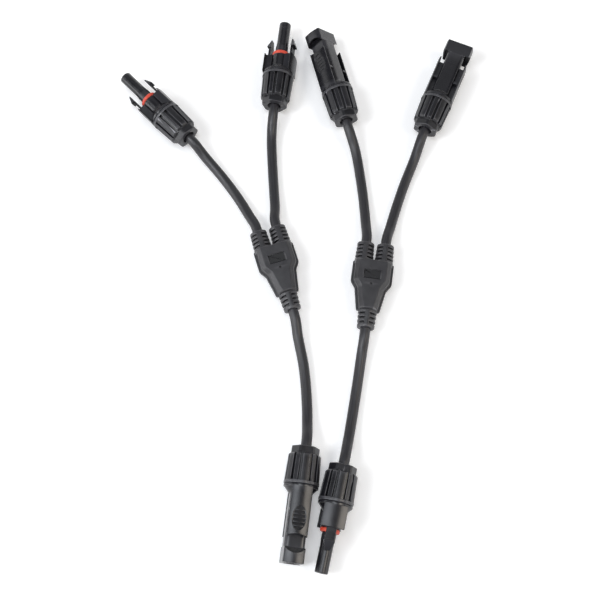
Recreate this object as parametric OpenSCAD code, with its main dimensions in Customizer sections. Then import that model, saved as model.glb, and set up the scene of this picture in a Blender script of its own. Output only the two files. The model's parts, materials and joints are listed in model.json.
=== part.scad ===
// A pair of Y-branch solar cable connectors, lying on a table.
// The left branch has two plugs and one socket, the right branch two sockets and one plug.
// Each connector is drawn on its own axis, from the rear of its gland nut at z = 0 to its tip,
// with its latch arms or its windows on the x sides, and is then laid down where it belongs.

/* [Cable] */
// Outside diameter of the cable sheath
cable_d = 6.2; // [5.4:0.1:6.6]
// Diameter of the stranded copper conductor
core_d = 2.6; // [2:0.1:2.8]

/* [Branch moulding] */
// Length of the moulded body without its boots
mould_len = 31; // [28:0.5:36]
// Width of the body at its shoulders
mould_w = 24.8; // [22:0.2:28]
// Width of the body where the shoulder curve ends
waist_w = 18.4; // [16:0.2:20]
// Width of the body at its single-cable end
mould_end_w = 14; // [13:0.2:16]
// Distance from the twin end to the start of the shoulder curve
shoulder_at = 12; // [8:0.5:14]
// Distance from the twin end to the end of the shoulder curve
waist_at = 19; // [16:0.5:22]
// Thickness of the body
mould_h = 15; // [13:0.5:18]
// Thickness of the lip along the parting plane
lip_t = 1.6; // [1:0.1:2.4]
// How far the lip stands out of the body
lip_w = 1.2; // [0.6:0.1:1.6]
// Width of the bevel along the top and bottom faces
bevel_w = 3; // [2:0.1:3.4]
// Height of the bevel along the top and bottom faces
bevel_h = 2.4; // [1.5:0.1:3]
// Rounding at the two ends of the body
end_round = 1; // [0.5:0.1:1.5]
// Distance between the twin cables
boot_pitch = 12; // [11.5:0.1:13]
// Length of the twin boots
boot_len = 12; // [10:0.5:14]
// Length of the single boot
tail_len = 10.5; // [9:0.5:14]
// Wall of a boot at its root
boot_wall = 2.6; // [2.2:0.1:2.7]
// Wall of a boot at its free end
boot_end_wall = 2.1; // [1.8:0.1:2.2]
// Flexing grooves along each twin boot
boot_grooves = 4; // [3:1:5]
// Flexing grooves along the single boot
tail_grooves = 3; // [2:1:4]
// Width of a flexing groove
boot_groove_w = 1.1; // [0.8:0.1:1.4]
// Wall of the boot left under a flexing groove
boot_floor = 1; // [0.6:0.1:1.4]
// Width of the solid spines above and below the grooves
spine_w = 3; // [2:0.2:4]
// Length of the shallow label recess, across the body
label_l = 10.5; // [8:0.5:12]
// Width of the label recess
label_w = 6; // [4:0.5:7]
// Distance from the twin end to the middle of the label recess
label_at = 9.4; // [7:0.1:11]
// Distance from the twin end to the gate dimple
gate_at = 15.5; // [14:0.5:18]
// Depth of the label recess and of the gate dimple
label_depth = 0.4; // [0.2:0.1:0.8]
// Diameter of the gate dimple
gate_d = 1.4; // [1:0.1:2]
// How far each cable reaches into the body
cable_in = 4; // [3:0.5:5]
// Length of the crimped splice in the body
splice_len = 10; // [8:0.5:12]
// Diameter of the crimped splice
splice_d = 6.8; // [6.2:0.1:8]

/* [Gland nut] */
// Length of the whole nut
nut_len = 21.5; // [20:0.5:24]
// Size across the flats of the hexagon at the rear
hex_af = 14.6; // [13.4:0.1:15]
// Size across the turned-off corners of the hexagon
hex_ac = 16; // [15.2:0.1:16.2]
// Length of the hexagon
hex_len = 4.1; // [3.6:0.1:5]
// Wall of the nut under its grip grooves
nut_wall = 0.9; // [0.7:0.1:1.2]
// Height of the grip ribs at the rear
rib_rear = 1.2; // [0.6:0.1:1.4]
// Height of the grip ribs at the front
rib_front = 1.8; // [1.4:0.1:2.2]
// Height of the front ring over the grip ribs
ring_rise = 0.2; // [0.1:0.05:0.4]
// Length of the front ring
ring_len = 1.7; // [1:0.1:2.5]
// Wide grip ribs around the nut, each followed by a narrow one
rib_pairs = 6; // [5:1:7]
// Share of the pitch that a wide rib takes
wide_share = 0.57; // [0.5:0.01:0.62]
// Width of a grip groove
grip_groove_w = 1.5; // [1:0.1:1.8]
// Room around the cable in the rear hole
hole_gap = 1.1; // [0.8:0.1:1.3]

/* [Gland] */
// Length of the rubber seal
seal_len = 6; // [5:0.5:7]
// Wall of the rubber seal
seal_wall = 2.25; // [2:0.05:2.6]
// Wall of the threaded tube of the housing
tube_wall = 1.5; // [1.2:0.1:2]
// Length of the threaded tube inside the nut
thread_len = 13; // [12:0.5:14]
// Fingers around the clamp ring
clamp_fingers = 6; // [5:1:8]
// Length of the slits between the fingers
slit_len = 5; // [4:0.5:6]
// Width of the slits between the fingers
slit_w = 1; // [0.6:0.1:1.4]

/* [Housings] */
// Length of the collar that the nut closes on
collar_len = 1.6; // [1:0.1:2.5]
// Width of the ledge between the collar and the cone in front of it
collar_ledge = 0.5; // [0.3:0.1:1]
// Length of the cone in front of the collar
cone_len = 4; // [3:0.5:5]
// Width of a housing across its plain sides
body_w = 11.8; // [11.4:0.1:12.6]
// Corner diameter of the central body
body_corner_d = 14.4; // [13.6:0.1:15]
// Radius of curvature of the side shells
shell_r = 18; // [14:0.5:22]

/* [Contacts] */
// Outside diameter of a contact
contact_d = 4.8; // [4.4:0.1:5]
// Diameter of the contact pin
pin_d = 3; // [2.5:0.1:3.2]
// Diameter of the crimp barrel
crimp_d = 5.2; // [5:0.1:5.4]
// Length of the crimp barrel
crimp_len = 9.2; // [8:0.2:9.6]
// Diameter of the shoulder that the clip holds
shoulder_d = 5.8; // [5.6:0.1:6]
// Length of that shoulder, and of the clip in front of it
shoulder_len = 1.1; // [0.8:0.1:1.2]

/* [Plug] */
// Length of the body in front of the collar
plug_body_len = 12.4; // [12:0.1:15]
// Diameter of that body
plug_body_d = 11.4; // [10.8:0.1:11.6]
// Length of the nose in front of the body
nose_len = 24.5; // [22:0.1:26]
// Wall of the nose around its contact
nose_wall = 1.3; // [1.1:0.1:1.4]
// Extra diameter of the root of the nose
nose_swell = 0.6; // [0.4:0.1:0.8]
// Length of the root of the nose
nose_root_len = 7; // [6:0.5:10]
// Length of the cone between the root and the front of the nose
nose_cone_len = 3; // [2:0.5:4]
// Chamfer around the tip of the nose
nose_chamfer = 0.5; // [0.3:0.1:0.8]
// Thickness of the front lip of the nose
nose_lip = 2.5; // [1.5:0.1:3]
// Outside diameter of the red seal ring
ring_d = 11.2; // [10.8:0.1:11.4]
// Radial thickness of the seal ring
ring_t = 1.8; // [1.7:0.1:2]
// Length of the seal ring along the nose
ring_w = 2.4; // [2:0.1:2.8]
// Length of a side wing in front of the collar
wing_len = 12.4; // [12:0.1:15]
// Width of a side wing
wing_w = 13.6; // [12:0.1:14.2]
// Thickness of a side wing at its crown
wing_t = 1.4; // [1.3:0.1:1.7]
// Radius of curvature of a side wing
wing_r = 26; // [24:0.5:32]
// Thickness of the two cheeks of a wing, beside its latch arm
cheek_t = 1.6; // [1.2:0.1:2]
// Thickness of a latch arm
arm_t = 1.3; // [1:0.1:1.5]
// Width of a latch arm
arm_w = 5.6; // [4.8:0.1:6]
// Distance from the axis to the inner face of a latch arm
arm_at = 6.8; // [6.7:0.1:6.9]
// Distance from the collar to the root bead of a latch arm
arm_root = 3.5; // [3.2:0.1:4]
// Radius of the root bead
bead_r = 1; // [0.9:0.05:1.1]
// Length of a latch arm from its root to its tip
arm_len = 21.2; // [19:0.1:23]
// Length of the arrow head on a latch arm
barb_len = 5.4; // [4:0.1:6]
// How far the barb stands out of the arm
barb_out = 1.3; // [1:0.1:1.6]
// Width of the arrow head at its barb
barb_w = 6.2; // [6:0.1:6.6]
// Width of the arrow head at its tip
tip_w = 3.2; // [2:0.1:4]

/* [Socket] */
// Length of the side shells in front of the collar
shell_len = 27.1; // [26:0.1:30]
// Thickness of a side shell at its crown
shell_t = 2.1; // [1.8:0.1:2.4]
// Length of the latch windows
window_len = 5.6; // [5:0.1:7]
// Length of the head in front of the windows
head_len = 8.4; // [7:0.1:9]
// How far the head stands back from the outside of the shells
head_drop = 0.7; // [0.4:0.1:0.9]
// How far the window curves into the head
window_sag = 3; // [2:0.1:3.4]
// How far the window curves into the shell
shell_sag = 1.4; // [0.8:0.1:2]
// Width of the plain opening in the head that an arm slides through
channel_w = 7.2; // [7.1:0.1:7.6]
// Wall of the inner tube around the mating bore
mate_wall = 1.2; // [1:0.1:1.3]
// Depth of the mating bore
mate_depth = 22; // [20:0.5:23]
// Distance from the mouth back to the tip of the pin
pin_recess = 9; // [8.5:0.5:11]
// Distance from the tip of the pin to the step in the mating bore
pin_clear = 0.5; // [0.3:0.1:1]
// Distance from the collar to the webs that tie the shells to the body
web_at = 11.6; // [10:0.1:13]
// Thickness of those webs
web_t = 1.4; // [1:0.1:2]
// Depth of the slots between the shells and the body
slot_depth = 3.4; // [2.6:0.1:4]
// Distance from the front of a shell back to the end of the wall between two slots
spine_back = 2; // [1.5:0.5:6]
// Length of the thumb grip
grip_len = 13; // [11:0.5:14]
// Width of the thumb grip
grip_w = 7.6; // [6.5:0.1:8]
// Depth of the thumb grip
grip_depth = 0.5; // [0.3:0.1:0.7]
// Cross ribs in the thumb grip
grip_ribs = 5; // [4:1:6]
// Width of a cross rib
grip_rib_w = 0.9; // [0.6:0.1:1.2]
// Distance from the front of the shell back to the thumb grip
grip_back = 3.6; // [3:0.1:5]

/* [Layout] */
// Space on the table that the places of the pair are given in hundredths of
lay_span = 200; // [180:1:230]
// Distance across the table between the nuts of the two lower connectors
pair_pitch = 21.1; // [21:0.1:30]

/* [Clearances] */
// Gap between parts that move against each other
move_gap = 0.3; // [0.2:0.05:0.4]
// Gap between the nut and the threaded tube
thread_gap = 0.25; // [0.2:0.05:0.3]
// Gap around parts that are pressed or moulded in
fit_gap = 0.05; // [0.02:0.01:0.1]
// Gap around a root bead in its seat
bead_gap = 0.15; // [0.1:0.05:0.2]
// Gap between a nose and the bore of its mate
mate_gap = 0.3; // [0.2:0.05:0.4]

/* [Hidden] */
$fn = 48;
plastic = "#26252b";
moulded = "#45454a";
sheath = "#4a494e";
rubber = "#33323a";
seal_red = "#e0503c";
metal = "#c9c6bd";
copper = "#b87545";
eps = 0.01;

// Diameters of the gland, from the cable outwards
seal_bore = cable_d + 2 * fit_gap;
seal_d = seal_bore + 2 * seal_wall;
gland_bore = seal_d + 2 * fit_gap;
thread_d = gland_bore + 2 * tube_wall;
nut_bore = thread_d + 2 * thread_gap;
groove_d = nut_bore + 2 * nut_wall;
nut_rear_d = groove_d + 2 * rib_rear;
nut_front_d = groove_d + 2 * rib_front;
nut_d = nut_front_d + 2 * ring_rise;
collar_d = nut_d - 2 * ring_rise;
clamp_d = gland_bore - 2 * move_gap;
clamp_bore = cable_d + 2 * move_gap;

// Places along a connector
nut_floor = hex_len + move_gap;
collar_at = nut_len + move_gap;
body_at = collar_at + collar_len;
thread_at = nut_len - thread_len;
seal_at = collar_at - seal_len;
clamp_at = nut_floor + move_gap;
clamp_end = seal_at - move_gap;
cable_end = collar_at - fit_gap;
shoulder_z = cable_end + crimp_len;
clip_z = shoulder_z + shoulder_len;
clip_end = clip_z + shoulder_len;
contact_bore = shoulder_d + 2 * fit_gap;

// The plug
nose_d = contact_d + 2 * fit_gap + 2 * nose_wall;
nose_root_d = nose_d + nose_swell;
plug_body_end = body_at + plug_body_len;
plug_len = plug_body_end + nose_len;
arm_out = arm_at + arm_t;
wing_in = arm_out + move_gap;
wing_crown = wing_in + wing_t;
arm_z = body_at + arm_root;
arm_mid = arm_at + arm_t / 2;

// The socket
mate_d = nose_root_d + 2 * mate_gap;
mate_deep_d = nose_d + 2 * mate_gap;
tube_half = mate_d / 2 + mate_wall;
channel_out = arm_out - move_gap / 2;
shell_crown = channel_out + shell_t - move_gap;
head_crown = shell_crown - head_drop;
window_z = body_at + shell_len;
head_z = window_z + window_len;
socket_len = head_z + head_len;
mate_z = socket_len - mate_depth;
mate_step_z = socket_len - pin_recess + pin_clear;
spine_half = body_w / 2 - slot_depth;
// Plastic left at both sides of a window for its curves to cut
window_lead = 0.3;

// A place on the table, given in hundredths of lay_span from the rear of the lower nut of its branch.
// The right branch lies pair_pitch from the left one, measured between their lower nuts.
lower_left = [2.37, -0.7];
function spot(p, branch) =
    ([p[0], p[1]] + lower_left) * lay_span / 100 + [branch * pair_pitch, 0];

// The branches: name, middle of the twin end of the moulding, heading from the twin to the single end,
// and its place in the pair
branches = [
    ["left", [-9.9, 9.75], -73, 0],
    ["right", [10, 4.75], -98, 1],
];

// The connectors: name, kind, branch, port, rear of the nut, extra height, heading, roll, cable points
connectors = [
    ["left_plug_1", "plug", 0, 0, [-36.7, 46.5], 0, 134.5, 73,
        [[-17.45, 21, 5], [-21.2, 27.5, 3.4], [-26, 34.25, 3.5], [-31.55, 40.75, 6]]],
    ["left_plug_2", "plug", 0, 1, [-9.9, 57.5], 0, 83.5, 72,
        [[-9.45, 24, 4.6], [-9.95, 31.5, 3.4], [-10.45, 40, 3.4], [-10.7, 48.5, 5]]],
    ["left_socket", "socket", 0, 2, [0, -51.3], 0, -97.3, 172,
        [[-2.3, -18, 4.6], [-0.65, -26.5, 3.4], [0.2, -35.5, 3.4], [0.4, -44, 5]]],
    ["right_socket_1", "socket", 1, 0, [2.4, 52.05], 0.4, 105, 138,
        [[8, 18.25, 4.8], [7.5, 26.5, 3.4], [6.6, 34.75, 3.4], [5.25, 43, 5.2]]],
    ["right_socket_2", "socket", 1, 1, [27.05, 49], 0, 67.2, 90,
        [[15.5, 17, 4.8], [17.75, 24.25, 3.4], [20.45, 32, 3.4], [23.7, 40, 5.2]]],
    ["right_plug", "plug", 1, 2, [0, -56.45], 0, -102.5, 175,
        [[5.9, -23.5, 4.8], [4.65, -31.5, 3.4], [3.3, -39.5, 3.4], [1.75, -48, 5.2]]],
];

// Sides of a cable and steps between two of its points
cable_sides = 12;
cable_steps = 2;
// Straight cable left outside a boot and outside a nut
boot_lead = 3;
nut_lead = 2;

branch_pieces = ["moulding", "splice", "cores"];
gland_pieces = ["housing", "contact", "contact_clip", "gland_seal", "clamp_ring", "nut", "cable"];
plug_pieces = ["seal_ring", "latch_arm_a", "latch_arm_b"];

function pieces(c) = c[1] == "plug" ? concat(gland_pieces, plug_pieces) : gland_pieces;

// Geometry helpers

function mix(a, b, u) = a + (b - a) * u;
function unit(v) = v / norm(v);
function flat_dir(heading) = [cos(heading), sin(heading), 0];

// A smooth curve through the points p with the given directions at its two ends
function curve_dir(p, i, first, last) =
    i == 0 ? first : i == len(p) - 1 ? last : unit(p[i + 1] - p[i - 1]);
function curve_point(a, b, ta, tb, u) =
    let (h = norm(b - a))
    a * (2 * u ^ 3 - 3 * u ^ 2 + 1) + ta * h * (u ^ 3 - 2 * u ^ 2 + u)
        + b * (3 * u ^ 2 - 2 * u ^ 3) + tb * h * (u ^ 3 - u ^ 2);
function curve(p, first, last, steps) = concat(
    [for (i = [0 : len(p) - 2]) for (k = [0 : steps - 1])
        curve_point(p[i], p[i + 1], curve_dir(p, i, first, last),
            curve_dir(p, i + 1, first, last), k / steps)],
    [p[len(p) - 1]]
);

// Rings of points joined into one closed skin
module skin(rings) {
    n = len(rings[0]);
    m = len(rings);
    polyhedron(
        points = [for (r = rings) for (q = r) q],
        faces = concat(
            [[for (j = [0 : n - 1]) j]],
            [for (i = [0 : m - 2]) for (j = [0 : n - 1]) let (k = (j + 1) % n)
                each [[i * n + j, (i + 1) * n + j, (i + 1) * n + k],
                      [i * n + j, (i + 1) * n + k, i * n + k]]],
            [[for (j = [n - 1 : -1 : 0]) (m - 1) * n + j]]
        )
    );
}

// A ring of points around the centre p, square to the direction t
function ring_at(p, t, r) =
    let (side = unit(cross([0, 0, 1], t)), up = cross(t, side))
    [for (j = [0 : cable_sides - 1]) let (a = 360 * j / cable_sides)
        p + r * (cos(a) * side + sin(a) * up)];

module tube_along(path, r) {
    last = len(path) - 1;
    skin([for (i = [0 : last])
        ring_at(path[i], unit(path[min(i + 1, last)] - path[max(i - 1, 0)]), r)]);
}

// A plain ring between two diameters
module ring(outer, inner, h) {
    difference() {
        cylinder(d = outer, h = h);
        translate([0, 0, -1]) cylinder(d = inner, h = h + 2);
    }
}

// Both x sides of a connector
module both_sides() {
    children();
    rotate([0, 0, 180]) children();
}

// A side plate with a flat inner face and a curved outer one
module side_plate(inner, crown, width, curve_r, z0, z1) {
    intersection() {
        translate([crown - curve_r, 0, z0]) cylinder(r = curve_r, h = z1 - z0, $fn = 96);
        translate([inner, -width / 2, z0 - 1]) cube([curve_r, width, z1 - z0 + 2]);
    }
}

// Places in the world

function middle_of(b) = [each spot(b[1], b[3]), mould_h / 2];

module lay_branch(b) {
    translate(middle_of(b)) rotate([0, 0, b[2]]) children();
}

function rear_of(c) = [each spot(c[4], c[2]), nut_d / 2 + c[5]];

module lay_connector(c) {
    translate(rear_of(c)) rotate([0, 0, c[6]]) rotate([0, 90, 0]) rotate([0, 0, c[7]]) children();
}

// A port: 0 and 1 are the twin cables, 2 is the single one
function port_side(k) = k == 2 ? 0 : (k - 0.5) * boot_pitch;
function port_point(b, k, x) =
    let (ahead = flat_dir(b[2]), left = flat_dir(b[2] + 90))
    middle_of(b) + x * ahead + port_side(k) * left;
function port_inner(b, k) = port_point(b, k, k == 2 ? mould_len - cable_in : cable_in);
function port_outer(b, k) = port_point(b, k, k == 2 ? mould_len + tail_len + boot_lead : -boot_len - boot_lead);
function port_dir(b, k) = (k == 2 ? 1 : -1) * flat_dir(b[2]);

function cable_path(c) =
    let (b = branches[c[2]], k = c[3], ahead = flat_dir(c[6]),
        start = port_outer(b, k), stop = rear_of(c) - nut_lead * ahead)
    concat(
        [port_inner(b, k)],
        curve(concat([start], [for (p = c[8]) [each spot(p, c[2]), p[2]]], [stop]), port_dir(b, k), ahead, cable_steps),
        [rear_of(c) + cable_end * ahead]
    );

// The branch moulding, along x from its twin end, with the parting plane at z = 0

function half_w(x) =
    x <= shoulder_at ? mould_w / 2 :
    x < waist_at ? mix(mould_w, waist_w, (1 - cos(180 * (x - shoulder_at) / (waist_at - shoulder_at))) / 2) / 2 :
    mix(waist_w, mould_end_w, (x - waist_at) / (mould_len - waist_at)) / 2;

function end_inset(x) = max(0, end_round - min(x, mould_len - x));
function lip_half(x) = half_w(x) - end_inset(x) / 2;

function mould_ring(x) =
    let (h = mould_h / 2 - end_inset(x), wall = lip_half(x) - lip_w,
        q = [[wall, lip_t / 2], [wall - lip_w / 2, h - bevel_h], [wall - bevel_w, h]])
    concat(
        [for (p = q) [x, p[0], p[1]]],
        [for (i = [2 : -1 : 0]) [x, -q[i][0], q[i][1]]],
        [for (p = q) [x, -p[0], -p[1]]],
        [for (i = [2 : -1 : 0]) [x, q[i][0], -q[i][1]]]
    );

shoulder_steps = 6;
mould_stations = concat(
    [0, end_round],
    [for (i = [0 : shoulder_steps]) mix(shoulder_at, waist_at, i / shoulder_steps)],
    [mould_len - end_round, mould_len]
);

// A boot from its root at z = 0 to its free end, with spines on its y sides
module boot(length, grooves) {
    root = cable_d + 2 * boot_wall;
    pitch = length / (grooves + 0.8);
    difference() {
        translate([0, 0, -end_round - 1])
            cylinder(d1 = root, d2 = cable_d + 2 * boot_end_wall, h = length + end_round + 1);
        for (i = [1 : grooves])
            translate([0, 0, i * pitch - boot_groove_w]) difference() {
                ring(root + 2, cable_d + 2 * boot_floor, boot_groove_w);
                translate([-spine_w / 2, -root, -1]) cube([spine_w, 2 * root, boot_groove_w + 2]);
            }
    }
}

splice_at = (mould_len - splice_len) / 2 + 1;
core_pitch = core_d + 0.8;

// The conductors between the cable ends and the splice, made larger by the gap
module core_runs(gap) {
    for (s = [-1, 1]) {
        from = [cable_in, s * boot_pitch / 2, 0];
        to = [splice_at, s * core_pitch / 2, 0];
        run = to - from;
        intersection() {
            translate(from - run) rotate([0, 0, atan2(run[1], run[0])]) rotate([0, 90, 0])
                cylinder(d = core_d + 2 * gap, h = 3 * norm(run));
            translate([cable_in - gap, -mould_w / 2, -mould_h / 2])
                cube([splice_at - cable_in + 2 * gap, mould_w, mould_h]);
        }
    }
    translate([splice_at + splice_len - gap, 0, 0]) rotate([0, 90, 0])
        cylinder(d = core_d + 2 * gap, h = mould_len - cable_in - splice_at - splice_len + 2 * gap);
}

module splice_barrel(gap) {
    translate([splice_at - gap, 0, 0]) rotate([0, 90, 0])
        cylinder(d = splice_d + 2 * gap, h = splice_len + 2 * gap);
}

module moulding() {
    color(moulded) difference() {
        union() {
            skin([for (x = mould_stations) mould_ring(x)]);
            translate([0, 0, -lip_t / 2]) linear_extrude(lip_t) polygon(concat(
                [for (x = mould_stations) [x, -lip_half(x)]],
                [for (i = [len(mould_stations) - 1 : -1 : 0]) [mould_stations[i], lip_half(mould_stations[i])]]
            ));
            for (k = [0, 1]) translate([0, port_side(k), 0]) rotate([0, -90, 0]) rotate([0, 0, 90]) boot(boot_len, boot_grooves);
            translate([mould_len, 0, 0]) rotate([0, 90, 0]) rotate([0, 0, 90]) boot(tail_len, tail_grooves);
        }
        for (k = [0, 1]) translate([-boot_len - 1, port_side(k), 0]) rotate([0, 90, 0])
            cylinder(d = cable_d + 2 * fit_gap, h = boot_len + 1 + cable_in);
        translate([mould_len - cable_in, 0, 0]) rotate([0, 90, 0])
            cylinder(d = cable_d + 2 * fit_gap, h = cable_in + tail_len + 1);
        core_runs(fit_gap);
        splice_barrel(fit_gap);
        translate([label_at - label_w / 2, -label_l / 2, mould_h / 2 - label_depth])
            cube([label_w, label_l, 1]);
        translate([gate_at, 0, mould_h / 2 - label_depth]) cylinder(d = gate_d, h = 1);
    }
}

module splice() {
    color(copper) splice_barrel(0);
}

module cores() {
    color(copper) core_runs(0);
}

module cable(c) {
    color(sheath) tube_along(cable_path(c), cable_d / 2);
}

// The gland nut, turned by hand or with a spanner on its hexagon
module nut() {
    pitch = 360 / rib_pairs;
    chamfer = 1;
    grip_z = hex_len - eps;
    ring_z = nut_len - ring_len;
    color(plastic) difference() {
        union() {
            intersection() {
                rotate([0, 0, 30]) cylinder(d = hex_af / cos(30), h = hex_len, $fn = 6);
                cylinder(d = hex_ac, h = hex_len);
            }
            translate([0, 0, grip_z]) cylinder(d1 = nut_rear_d - 2 * rib_rear, d2 = nut_rear_d, h = chamfer);
            translate([0, 0, grip_z + chamfer])
                cylinder(d1 = nut_rear_d, d2 = nut_front_d, h = ring_z - grip_z - chamfer);
            translate([0, 0, ring_z]) cylinder(d = nut_d, h = ring_len);
        }
        for (i = [0 : rib_pairs - 1]) for (s = [-1, 1]) rotate([0, 0, pitch * (i + s * wide_share / 2)])
            translate([groove_d / 2, -grip_groove_w / 2, hex_len])
                cube([(nut_d - groove_d - ring_rise) / 2, grip_groove_w, ring_z - hex_len]);
        translate([0, 0, -1]) cylinder(d = cable_d + 2 * hole_gap, h = nut_len);
        translate([0, 0, nut_floor]) cylinder(d = nut_bore, h = nut_len);
    }
}

// The clamp ring, whose fingers the nut presses on the cable
module clamp_ring() {
    color(rubber) difference() {
        translate([0, 0, clamp_at]) ring(clamp_d, clamp_bore, clamp_end - clamp_at);
        for (i = [0 : clamp_fingers - 1]) rotate([0, 0, i * 360 / clamp_fingers])
            translate([0, -slit_w / 2, clamp_at - 1]) cube([clamp_d, slit_w, slit_len + 1]);
    }
}

module gland_seal() {
    color(rubber) translate([0, 0, seal_at]) ring(seal_d, seal_bore, seal_len);
}

// The rear of both housings: threaded tube, collar and cone
module gland_end() {
    translate([0, 0, thread_at]) cylinder(d = thread_d, h = collar_at - thread_at + eps);
    translate([0, 0, collar_at]) cylinder(d = collar_d, h = collar_len);
    translate([0, 0, body_at - eps]) cylinder(d1 = collar_d - 2 * collar_ledge, d2 = body_w, h = cone_len);
}

// The space in both housings for seal, cable and contact
module gland_bores() {
    translate([0, 0, thread_at - 1]) cylinder(d = gland_bore, h = collar_at - thread_at + 1);
    translate([0, 0, collar_at - 1]) cylinder(d = contact_bore, h = clip_end - collar_at + 1 + fit_gap);
}

module contact_clip() {
    color(metal) translate([0, 0, clip_z]) ring(shoulder_d, contact_d + 2 * fit_gap, shoulder_len);
}

// The rear of both contacts: crimp barrel, shoulder and body up to z1
module contact_rear(z1) {
    translate([0, 0, cable_end]) cylinder(d = crimp_d, h = crimp_len + eps);
    translate([0, 0, shoulder_z]) cylinder(d = shoulder_d, h = shoulder_len);
    translate([0, 0, clip_z - eps]) cylinder(d = contact_d, h = z1 - clip_z + eps);
}

// The receptacle contact in the nose of a plug
module plug_contact() {
    front = plug_len - nose_lip;
    color(metal) difference() {
        contact_rear(front);
        translate([0, 0, plug_body_end]) cylinder(d = pin_d + 2 * fit_gap, h = nose_len);
    }
}

// The pin contact in a socket
module socket_contact() {
    tip = 1;
    pin_end = socket_len - pin_recess;
    color(metal) {
        contact_rear(mate_z);
        translate([0, 0, mate_z - eps]) cylinder(d = pin_d, h = pin_end - tip - mate_z + eps);
        translate([0, 0, pin_end - tip - eps]) cylinder(d1 = pin_d, d2 = pin_d / 2, h = tip);
    }
}

// The seal ring sits in a groove at the root of the nose
module seal_ring() {
    round_r = ring_t / 2;
    color(seal_red) translate([0, 0, plug_body_end + fit_gap]) rotate_extrude()
        translate([ring_d / 2 - round_r, round_r]) {
            circle(round_r);
            translate([0, ring_w - ring_t]) circle(round_r);
            translate([-round_r, 0]) square([ring_t, ring_w - ring_t]);
        }
}

// The block at the root of a wing that holds the bead of a latch arm
module arm_seat() {
    seat_w = arm_w + 2 * move_gap + 2;
    translate([plug_body_d / 2 - 1, -seat_w / 2, body_at - eps])
        cube([wing_in + eps - plug_body_d / 2 + 1, seat_w, arm_root + bead_r]);
}

module arm_seat_room() {
    room_w = arm_w + 2 * move_gap;
    translate([arm_mid, room_w / 2, arm_z]) rotate([90, 0, 0]) cylinder(r = bead_r + bead_gap, h = room_w);
    translate([arm_at - move_gap, -room_w / 2, arm_z])
        cube([arm_t + move_gap + bead_gap, room_w, bead_r + 1]);
}

// The two cheeks that make a wing into a channel for its latch arm
module wing_cheeks() {
    cheek_in = plug_body_d / 2 - cheek_t;
    cheek_y = arm_w / 2 + move_gap + 0.1;
    for (y = [-cheek_y - cheek_t, cheek_y])
        translate([cheek_in, y, body_at - eps]) cube([wing_in - cheek_in + eps, cheek_t, wing_len - 0.4]);
}

module plug_housing() {
    groove_w = ring_w + 2 * fit_gap;
    nose_z = plug_body_end - eps;
    root_end = plug_body_end + nose_root_len;
    front = root_end + nose_cone_len;
    color(plastic) difference() {
        union() {
            gland_end();
            translate([0, 0, body_at - eps]) cylinder(d = plug_body_d, h = plug_body_len + eps);
            translate([0, 0, nose_z]) cylinder(d = nose_root_d, h = nose_root_len + eps);
            translate([0, 0, root_end - eps]) cylinder(d1 = nose_root_d, d2 = nose_d, h = nose_cone_len);
            translate([0, 0, front - 2 * eps])
                cylinder(d = nose_d, h = plug_len - nose_chamfer - front + 2 * eps);
            translate([0, 0, plug_len - nose_chamfer - eps])
                cylinder(d1 = nose_d, d2 = nose_d - 2 * nose_chamfer, h = nose_chamfer + eps);
            both_sides() side_plate(wing_in, wing_crown, wing_w, wing_r, body_at - eps, body_at + wing_len);
            both_sides() wing_cheeks();
            both_sides() arm_seat();
        }
        gland_bores();
        both_sides() arm_seat_room();
        translate([0, 0, clip_end]) cylinder(d = contact_d + 2 * fit_gap, h = plug_len - nose_lip - clip_end);
        translate([0, 0, plug_len - nose_lip - 1]) cylinder(d = pin_d + 4 * fit_gap, h = nose_lip + 2);
        translate([0, 0, plug_body_end]) ring(nose_root_d + 2, ring_d - 2 * ring_t - 2 * fit_gap, groove_w);
    }
}

// One latch arm, on the +x side: a root bead, a blade and an arrow head
module latch_arm() {
    tip_z = arm_z + arm_len;
    barb_z = tip_z - barb_len;
    color(plastic) {
        translate([arm_mid, arm_w / 2, arm_z]) rotate([90, 0, 0]) cylinder(r = bead_r, h = arm_w);
        translate([arm_at, -arm_w / 2, arm_z]) cube([arm_t, arm_w, barb_z - arm_z + eps]);
        intersection() {
            translate([0, barb_w / 2, 0]) rotate([90, 0, 0]) linear_extrude(barb_w)
                polygon([[arm_at, barb_z], [arm_out + barb_out, barb_z], [arm_at + arm_t / 2, tip_z],
                    [arm_at, tip_z]]);
            rotate([0, -90, 0]) mirror([0, 0, 1]) linear_extrude(2 * arm_out)
                polygon([[barb_z, -barb_w / 2], [tip_z, -tip_w / 2], [tip_z, tip_w / 2],
                    [barb_z, barb_w / 2]]);
        }
    }
}

// The central body of a socket: a square tube with rounded corners
module socket_body() {
    translate([0, 0, body_at - eps]) intersection() {
        cylinder(d = body_corner_d, h = socket_len - body_at + eps);
        translate([-tube_half, -body_w / 2, -1]) cube([2 * tube_half, body_w, socket_len]);
    }
}

// The head of a socket: one block a little narrower than the shells, with the same curved sides
module socket_head() {
    translate([0, 0, head_z - window_lead]) intersection() {
        translate([head_crown - shell_r, 0, 0]) cylinder(r = shell_r, h = head_len + window_lead, $fn = 96);
        translate([shell_r - head_crown, 0, 0]) cylinder(r = shell_r, h = head_len + window_lead, $fn = 96);
        translate([-head_crown, -body_w / 2, -1]) cube([2 * head_crown, body_w, head_len + window_lead + 2]);
    }
}

// A latch window from the side, curved into the head and into the shell
function sag_radius(sag) = ((body_w / 2) ^ 2 + sag ^ 2) / (2 * sag);

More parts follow.
